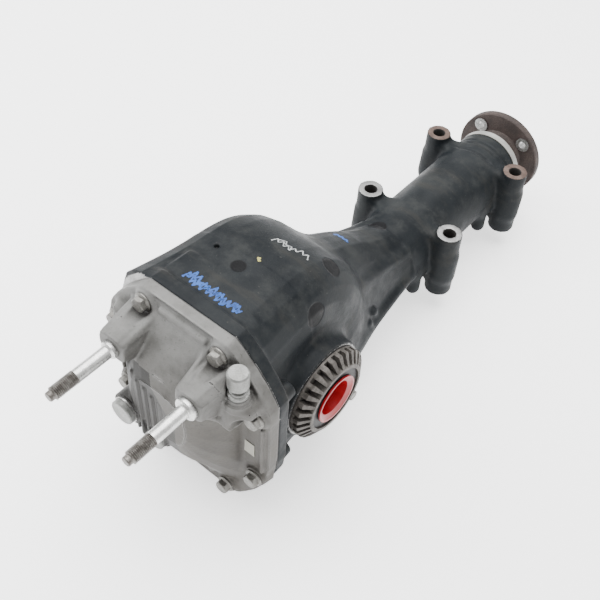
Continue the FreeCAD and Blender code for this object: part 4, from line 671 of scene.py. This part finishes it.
def cast_alloy(name="cover alloy", tone=1.0, wear=0.6):
    """Weathered sand-cast aluminium: pale higher up, with painted shade in a darker brown low down and in the
    corners.
    """
    material, tree, shader, where = new_material(name)
    patch = noise(tree, where, 30, 6, 0.65)
    stain = noise(tree, where, 11, 5, 0.6)
    fine = noise(tree, where, 380, 3, 0.6)
    grain = noise(tree, where, 1300, 2, 0.5)
    split = tree.nodes.new("ShaderNodeSeparateXYZ")
    tree.links.new(where, split.inputs[0])
    # Painted shade: the colour turns a darker brown lower down, from a height of 0.2 m down to 0.12 m.
    low = ramp(tree, split.outputs["Z"], 0.200, 0.12)
    tones = [tuple(c * tone for c in colour) for colour in (
        (0.135, 0.132, 0.122), (0.285, 0.282, 0.270), (0.052, 0.043, 0.033), (0.118, 0.104, 0.085))]
    pale = mix(tree, ramp(tree, patch, 0.3, 0.7), tones[0], tones[1])
    low_painted_shade = mix(tree, ramp(tree, patch, 0.3, 0.7), tones[2], tones[3])
    colour = mix(tree, maths(tree, "MULTIPLY", low, 0.85), pale, low_painted_shade)
    colour = mix(tree, ramp(tree, stain, 0.50, 0.68, 0.0, 0.45), colour, tones[2])
    # Painted shade: corners and hollows that the occlusion finds turn a dark brown.
    occlusion = tree.nodes.new("ShaderNodeAmbientOcclusion")
    occlusion.inputs["Distance"].default_value = 0.014
    occlusion.samples = 6
    corner_painted_shade = ramp(tree, occlusion.outputs["AO"], 0.86, 0.36)
    colour = mix(tree, maths(tree, "MULTIPLY", corner_painted_shade, 0.85), colour, (0.034, 0.030, 0.025))
    speck = ramp(tree, fine, 0.60, 0.70)
    colour = mix(tree, maths(tree, "MULTIPLY", speck, 0.35), colour, (0.05, 0.045, 0.04))
    rubbed = maths(tree, "MULTIPLY", edge_wear(tree, 0.003), ramp(tree, patch, 0.3, 0.55))
    colour = mix(tree, maths(tree, "MULTIPLY", rubbed, wear), colour, (0.42, 0.415, 0.40))
    tree.links.new(colour, shader.inputs["Base Color"])
    shader.inputs["Metallic"].default_value = 0.25
    tree.links.new(ramp(tree, patch, 0.25, 0.8, 0.48, 0.68), shader.inputs["Roughness"])
    bump(tree, shader, [(noise(tree, where, 90, 4, 0.5), 0.30), (fine, 0.30), (grain, 0.18)], 0.0008)
    return material


def metal(name, dark, light, metallic, rough, scale, dirt=None, dirt_amount=0.5, bumpy=0.08):
    """A metal with a mottled finish and, if asked, dirt in patches and painted shade in its hollows."""
    material, tree, shader, where = new_material(name)
    patch = noise(tree, where, scale, 6, 0.6)
    fine = noise(tree, where, scale * 9, 3, 0.6)
    colour = mix(tree, ramp(tree, patch, 0.32, 0.68), dark, light)
    if dirt:
        amount = maths(tree, "MULTIPLY", ramp(tree, fine, 0.35, 0.7), dirt_amount)
        colour = mix(tree, amount, colour, dirt)
        # Painted shade: hollows that the occlusion finds turn darker.
        occlusion = tree.nodes.new("ShaderNodeAmbientOcclusion")
        occlusion.inputs["Distance"].default_value = 0.004
        occlusion.samples = 6
        hollow = ramp(tree, occlusion.outputs["AO"], 0.85, 0.3)
        colour = mix(tree, maths(tree, "MULTIPLY", hollow, 0.8), colour, tuple(c * 0.35 for c in dirt))
    tree.links.new(colour, shader.inputs["Base Color"])
    shader.inputs["Metallic"].default_value = metallic
    tree.links.new(ramp(tree, fine, 0.3, 0.7, rough - 0.08, rough + 0.1), shader.inputs["Roughness"])
    bump(tree, shader, [(fine, bumpy * 2), (noise(tree, where, scale * 25, 2), bumpy)], 0.0005)
    return material


def plastic(name, dark, light, rough):
    """A smooth dull finish, faintly mottled, for plastic, rubber, card and ink."""
    material, tree, shader, where = new_material(name)
    cloud = noise(tree, where, 120, 4)
    tree.links.new(mix(tree, ramp(tree, cloud, 0.3, 0.7), dark, light), shader.inputs["Base Color"])
    shader.inputs["Roughness"].default_value = rough
    bump(tree, shader, [(noise(tree, where, 700, 2), 0.05)], 0.0004)
    return material


ALLOY = cast_alloy()
# Painted shade: a darker copy of the cover alloy, with little rubbed wear, for the shaded middle of the
# cover.
ALLOY_IN_PAINTED_SHADE = cast_alloy("cover alloy in painted shade", 0.26, 0.08)
MACHINED = metal("machined iron", (0.36, 0.36, 0.36), (0.60, 0.60, 0.59), 0.8, 0.38, 90, (0.16, 0.14, 0.12),
                 0.35)
RUSTY_FACE = metal("rusted machined face", (0.12, 0.072, 0.055), (0.24, 0.165, 0.135), 0.15, 0.75, 120,
                   (0.09, 0.05, 0.035), 0.5, 0.14)
RUST = metal("brown rust", (0.050, 0.034, 0.030), (0.105, 0.072, 0.062), 0.1, 0.72, 70,
             (0.035, 0.022, 0.018), 0.5, 0.14)
BORE = metal("dark bore", (0.018, 0.016, 0.015), (0.045, 0.038, 0.034), 0.1, 0.7, 90)
RETAINER = metal("retainer iron", (0.085, 0.075, 0.066), (0.24, 0.22, 0.20), 0.35, 0.6, 160,
                 (0.06, 0.05, 0.04), 0.6, 0.14)
BRIGHT = metal("bright steel", (0.95, 0.95, 0.93), (1.35, 1.35, 1.32), 0.9, 0.3, 90, (0.55, 0.53, 0.50), 0.25)
ZINC = metal("dull zinc", (0.34, 0.345, 0.33), (0.50, 0.505, 0.49), 0.6, 0.45, 80, (0.25, 0.24, 0.21), 0.4)
BOLT = metal("bolt steel", (0.22, 0.215, 0.20), (0.42, 0.41, 0.385), 0.7, 0.42, 200, (0.16, 0.14, 0.11), 0.5)
WHITE_ZINC = metal("pale zinc", (0.50, 0.50, 0.47), (0.68, 0.68, 0.65), 0.3, 0.5, 80, (0.32, 0.30, 0.26),
                   0.35)
THREAD = metal("thread steel", (0.16, 0.145, 0.13), (0.50, 0.48, 0.45), 0.7, 0.45, 240, (0.12, 0.10, 0.085),
               0.6, 0.1)
GEAR = metal("gear steel", (0.30, 0.30, 0.31), (0.44, 0.44, 0.45), 0.9, 0.3, 60)
RACE = metal("bearing steel", (0.5, 0.5, 0.52), (0.62, 0.62, 0.64), 1.0, 0.22, 60)
CASE = metal("case iron", (0.17, 0.17, 0.175), (0.28, 0.28, 0.285), 0.6, 0.5, 80)
RUBBER = plastic("seal rubber", (0.010, 0.010, 0.011), (0.025, 0.024, 0.024), 0.6)
SEALANT = plastic("sealant", (0.03, 0.03, 0.03), (0.07, 0.068, 0.065), 0.6)
RED = plastic("red plastic", (0.42, 0.004, 0.010), (0.55, 0.010, 0.018), 0.30)
CARD = plastic("plain label", (0.50, 0.48, 0.40), (0.60, 0.585, 0.50), 0.55)
BLUE_INK = plastic("blue marker", (0.0, 0.085, 0.42), (0.004, 0.15, 0.62), 0.6)
WHITE_INK = plastic("white marker", (0.45, 0.47, 0.47), (0.72, 0.74, 0.74), 0.6)
YELLOW_INK = plastic("yellow marker", (0.50, 0.46, 0.10), (0.68, 0.62, 0.18), 0.6)


def finish_with(obj, *materials):
    """Gives a piece these materials and no others."""
    obj.data.materials.clear()
    for material in materials:
        obj.data.materials.append(material)


def choose_faces(obj, rules):
    """Gives faces the material whose test holds, from their centres in the axle frame and their normals."""
    mesh = obj.data
    count = len(mesh.polygons)
    centre, normal = np.zeros(count * 3), np.zeros(count * 3)
    mesh.polygons.foreach_get("center", centre)
    mesh.polygons.foreach_get("normal", normal)
    centre = centre.reshape(-1, 3) * 1000 - AXLE
    normal = normal.reshape(-1, 3)
    index = np.zeros(count, int)
    for number, test in rules:
        index[test(centre, normal)] = number
    mesh.polygons.foreach_set("material_index", index)


# ---------------------------------------------------------------- build the pieces

housing = carrier()
surface = BVHTree.FromPolygons([v.co.copy() for v in housing.data.vertices],
                               [tuple(p.vertices) for p in housing.data.polygons])
PRINTS = []
for centre, outward, radius in (
        ((45, 7.4, 58.3), (0.6, 0, 0.8), 11.0),
        ((-6.4, -13.8, 103), (0, 0, 1), 6.8),
        ((30, 44, 70), (0.45, 0.4, 0.8), 10.0),
        ((-9, 196, -6), (0, 0, 1), 9.5)):
    outward = Vector(outward).normalized()
    PRINTS.append((tuple(surface.ray_cast(Vector(place(centre)) + outward * 0.06, -outward)[0]),
                   radius / 1000.0))
PAINT = painted_iron(PRINTS)
finish_with(housing, PAINT, MACHINED, RUSTY_FACE, BORE)


def round_bosses(c, y, radius):
    """Which places lie round the two mounting bosses at that y."""
    return np.hypot(np.abs(c[:, 0]) - BOSS_X, c[:, 1] - y) < radius


def boss_bores(c, n):
    return (round_bosses(c, BOSS_Y[0], 7.2) | round_bosses(c, BOSS_Y[1], 7.2)) & (np.abs(n[:, 2]) < 0.7)


def boss_tops(c, n, y):
    return round_bosses(c, y, 14) & (c[:, 2] > -6.6) & (n[:, 2] > 0.8)


def axle_faces(c, n):
    return (np.abs(c[:, 0]) > 76.5) & (np.abs(n[:, 0]) > 0.8) & (np.hypot(c[:, 1], c[:, 2]) < 45.6)


def joint_face(c, n):
    return (c[:, 1] < -70.2) & (n[:, 1] < -0.8)


def painted_shade_middle(c, n):
    """The part of the cover given painted shade, left of a line that slopes down to the right."""
    edge = np.minimum(-11 + 0.62 * (60 - c[:, 2]), 19)
    return (c[:, 1] < -96) & (c[:, 2] < 58) & (c[:, 0] > -50) & (c[:, 0] < edge)


def stud_thread(c, n):
    return c[:, 1] < -158.5


choose_faces(housing, [
    (3, boss_bores),
    (1, lambda c, n: boss_tops(c, n, BOSS_Y[0])),
    (2, lambda c, n: boss_tops(c, n, BOSS_Y[1])),
    (1, axle_faces),
    (1, joint_face),
])
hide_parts("carrier_housing")
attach(housing, "housing")

lid = cover()
finish_with(lid, ALLOY, ALLOY_IN_PAINTED_SHADE)
# Painted shade: the middle faces of the cover take the darker copy of the alloy.
choose_faces(lid, [(1, painted_shade_middle)])
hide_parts("rear_cover")
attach(lid, "housing")

for side, name, collar in ((-1, "stud_left", 8.0), (1, "stud_right", 10.0)):
    rows = [(-19, 5.9, 0), (0.02, 5.9, 0),
            (0.04, collar - 0.4, 0), (0.5, collar, 0), (4.0, collar, 0), (4.6, collar - 0.6, 0),
            (5.0, 6.3, 0), (5.6, 5.75, 0), (36.5, 5.75, 0), (37.5, 5.95, 0),
            (38.0, 5.95, 1), (58.0, 5.9, 1),
            (58.4, 4.9, 0), (59.2, 4.3, 0), (62.4, 4.2, 0), (62.98, 3.7, 0)]
    stud = thread_mesh(name + "_threaded", rows, 1.5, 0.75, (side * STUD_X, STUD_PAD, STUD_Z), (0, -1, 0))
    finish_with(stud, BRIGHT, THREAD)
    choose_faces(stud, [(1, stud_thread)])
    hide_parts(name)
    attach(stud, "housing")

FINISHES = {
    "cover_gasket": SEALANT,
    "cover_bolts": BOLT,
    "breather_stem": ZINC,
    "breather_cap": ZINC,
    "fill_plug": ZINC,
    "drain_plug": ZINC,
    "fill_plug_gasket": BRIGHT,
    "drain_plug_gasket": BRIGHT,
    "companion_flange": RUST,
    "flange_bushes": BRIGHT,
    "dust_deflector": WHITE_ZINC,
    "pinion_nut": BOLT,
    "pinion_washer": BOLT,
    "differential_case": CASE,
    "ring_gear_bolts": BOLT,
    "part_label": CARD,
    "lock_plate_left": ZINC,
    "lock_plate_right": ZINC,
    "lock_plate_bolt_left": BOLT,
    "lock_plate_bolt_right": BOLT,
}
for name, node in NODES.items():
    if name in ("carrier_housing", "rear_cover", "stud_left", "stud_right"):
        continue
    if name.startswith("transport_plug"):
        material = RED
    elif name.startswith("side_retainer"):
        material = RETAINER
    elif "seal" in name or "o_ring" in name:
        material = RUBBER
    elif "bearing" in name or "spacer" in name or "washer" in name or name.endswith("pin"):
        material = RACE
    else:
        material = GEAR
    finish_with(node, FINISHES.get(name, material))
    edge = node.modifiers.new("edges", "BEVEL")
    edge.width = 0.0003
    edge.segments = 2
    edge.limit_method = "ANGLE"
    edge.angle_limit = math.radians(40)

# ---------------------------------------------------------------- marker strokes on the carrier


def stroke(points, width):
    """Quads along a path, each point dropped onto the carrier; path and width in millimetres."""
    path = np.array(points, float)
    lengths = np.concatenate([[0], np.cumsum(np.hypot(*np.diff(path, axis=0).T))])
    count = max(2, int(lengths[-1] / 0.8))
    at = np.linspace(0, lengths[-1], count)
    line = np.stack([np.interp(at, lengths, path[:, i]) for i in range(2)], 1)
    ahead = np.gradient(line, axis=0)
    ahead /= np.linalg.norm(ahead, axis=1)[:, None] + 1e-9
    sides = np.stack([-ahead[:, 1], ahead[:, 0]], 1)
    verts, faces = [], []
    cross = 5
    for i in range(count):
        swell = width * (0.8 + 0.2 * math.sin(i * 1.7) + 0.15 * math.sin(i * 0.53 + 1))
        for j in range(cross):
            x, y = line[i] + sides[i] * swell * (j / (cross - 1) - 0.5)
            start = Vector(place((x, y, 160)))
            hit, normal, _, _ = surface.ray_cast(start, Vector((0, 0, -1)))
            if hit is None:
                hit, normal = start, Vector((0, 0, 1))
            verts.append(hit + normal * 0.00012)
    for i in range(count - 1):
        for j in range(cross - 1):
            a = i * cross + j
            faces.append((a, a + cross, a + cross + 1, a + 1))
    return verts, faces


def marks(name, paths, width, material):
    """One piece of several marker strokes."""
    verts, faces = [], []
    for path in paths:
        v, f = stroke(path, width)
        faces += [tuple(i + len(verts) for i in face) for face in f]
        verts += v
    mesh = bpy.data.meshes.new(name)
    mesh.from_pydata([tuple(v) for v in verts], [], faces)
    mesh.shade_smooth()
    made = bpy.data.objects.new(name, mesh)
    bpy.context.scene.collection.objects.link(made)
    finish_with(made, material)
    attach(made, "housing")


def zigzag(start, end, count, reach):
    """A scribbled line from start to end that swings to each side."""
    a, b = np.array(start, float), np.array(end, float)
    step = (b - a) / count
    side = np.array([-step[1], step[0]]) / np.hypot(*step)
    return [tuple(a + step * i + side * reach * (0.6 + 0.4 * math.sin(i * 2.3)) * (1 if i % 2 else -1))
            for i in range(count + 1)]


marks("blue_scribble", [zigzag((-30, -50), (28, -49), 27, 5.2), zigzag((-27, -47), (26, -51), 19, 6.4)],
      2.0, BLUE_INK)
marks("blue_dab", [zigzag((-6, 116), (8, 119), 6, 3.0)], 3.0, BLUE_INK)
marks("white_scribble", [zigzag((-10, 32), (25, 38), 12, 4.6), zigzag((-6, 38), (10, 33), 4, 3.4)], 1.3,
      WHITE_INK)
marks("yellow_dab", [[(-1, 5), (0.5, 2.5), (2.5, 1.5)]], 3.0, YELLOW_INK)

# ---------------------------------------------------------------- stage, camera and light


def stage_plane(size, z):
    """A pale floor that glows faintly, so that it stays pale out to its edges."""
    mesh = bpy.data.meshes.new("floor")
    corners = [(-size, -size, z), (size, -size, z), (size, size, z), (-size, size, z)]
    mesh.from_pydata(corners, [], [(0, 1, 2, 3)])
    made = bpy.data.objects.new("floor", mesh)
    bpy.context.scene.collection.objects.link(made)
    material, _, shader, _ = new_material("pale floor")
    shader.inputs["Base Color"].default_value = (0.93, 0.93, 0.93, 1.0)
    shader.inputs["Roughness"].default_value = 0.9
    shader.inputs["Emission Color"].default_value = (1.0, 1.0, 1.0, 1.0)
    shader.inputs["Emission Strength"].default_value = 1.2
    finish_with(made, material)


stage_plane(40, -0.0004)

AZIMUTH = math.radians(36.9)
ELEVATION = math.radians(48.5)
ROLL = math.radians(3.9)
DISTANCE = 0.8705
LENS = 53.37
TARGET = Vector((-0.0199, -0.0380, 0.0738))
ahead = Vector((-math.sin(AZIMUTH) * math.cos(ELEVATION),
                math.cos(AZIMUTH) * math.cos(ELEVATION),
                -math.sin(ELEVATION)))
level = Vector((math.cos(AZIMUTH), math.sin(AZIMUTH), 0))
upward = level.cross(ahead)
right = level * math.cos(ROLL) + upward * math.sin(ROLL)
up = upward * math.cos(ROLL) - level * math.sin(ROLL)
camera = bpy.data.objects.new("camera", bpy.data.cameras.new("camera"))
bpy.context.scene.collection.objects.link(camera)
camera.data.lens = LENS
camera.data.sensor_width = 36.0
turn = Matrix((right, up, -ahead)).transposed().to_4x4()
camera.matrix_world = Matrix.Translation(TARGET - ahead * DISTANCE) @ turn
bpy.context.scene.camera = camera


def area_light(name, at, size, power, tint=(1, 1, 1)):
    """A soft light aimed at the middle of the assembly."""
    data = bpy.data.lights.new(name, "AREA")
    data.shape = "RECTANGLE"
    data.size, data.size_y = size
    data.energy = power
    data.color = tint
    made = bpy.data.objects.new(name, data)
    made.location = at
    made.rotation_mode = "QUATERNION"
    made.rotation_quaternion = (Vector((0, 0, 0.1)) - Vector(at)).to_track_quat("-Z", "Y")
    bpy.context.scene.collection.objects.link(made)


area_light("overhead", (-0.3, 0.3, 1.9), (2.2, 2.2), 104)
area_light("left window", (-1.7, -0.7, 1.2), (1.2, 1.6), 44, tint=(0.96, 0.98, 1.0))
area_light("right fill", (1.6, -0.5, 0.9), (1.4, 1.2), 6)

world = bpy.data.worlds.new("studio")
world.use_nodes = True
world.node_tree.nodes["Background"].inputs[0].default_value = (1.0, 1.0, 1.0, 1.0)
world.node_tree.nodes["Background"].inputs[1].default_value = 1.1
bpy.context.scene.world = world
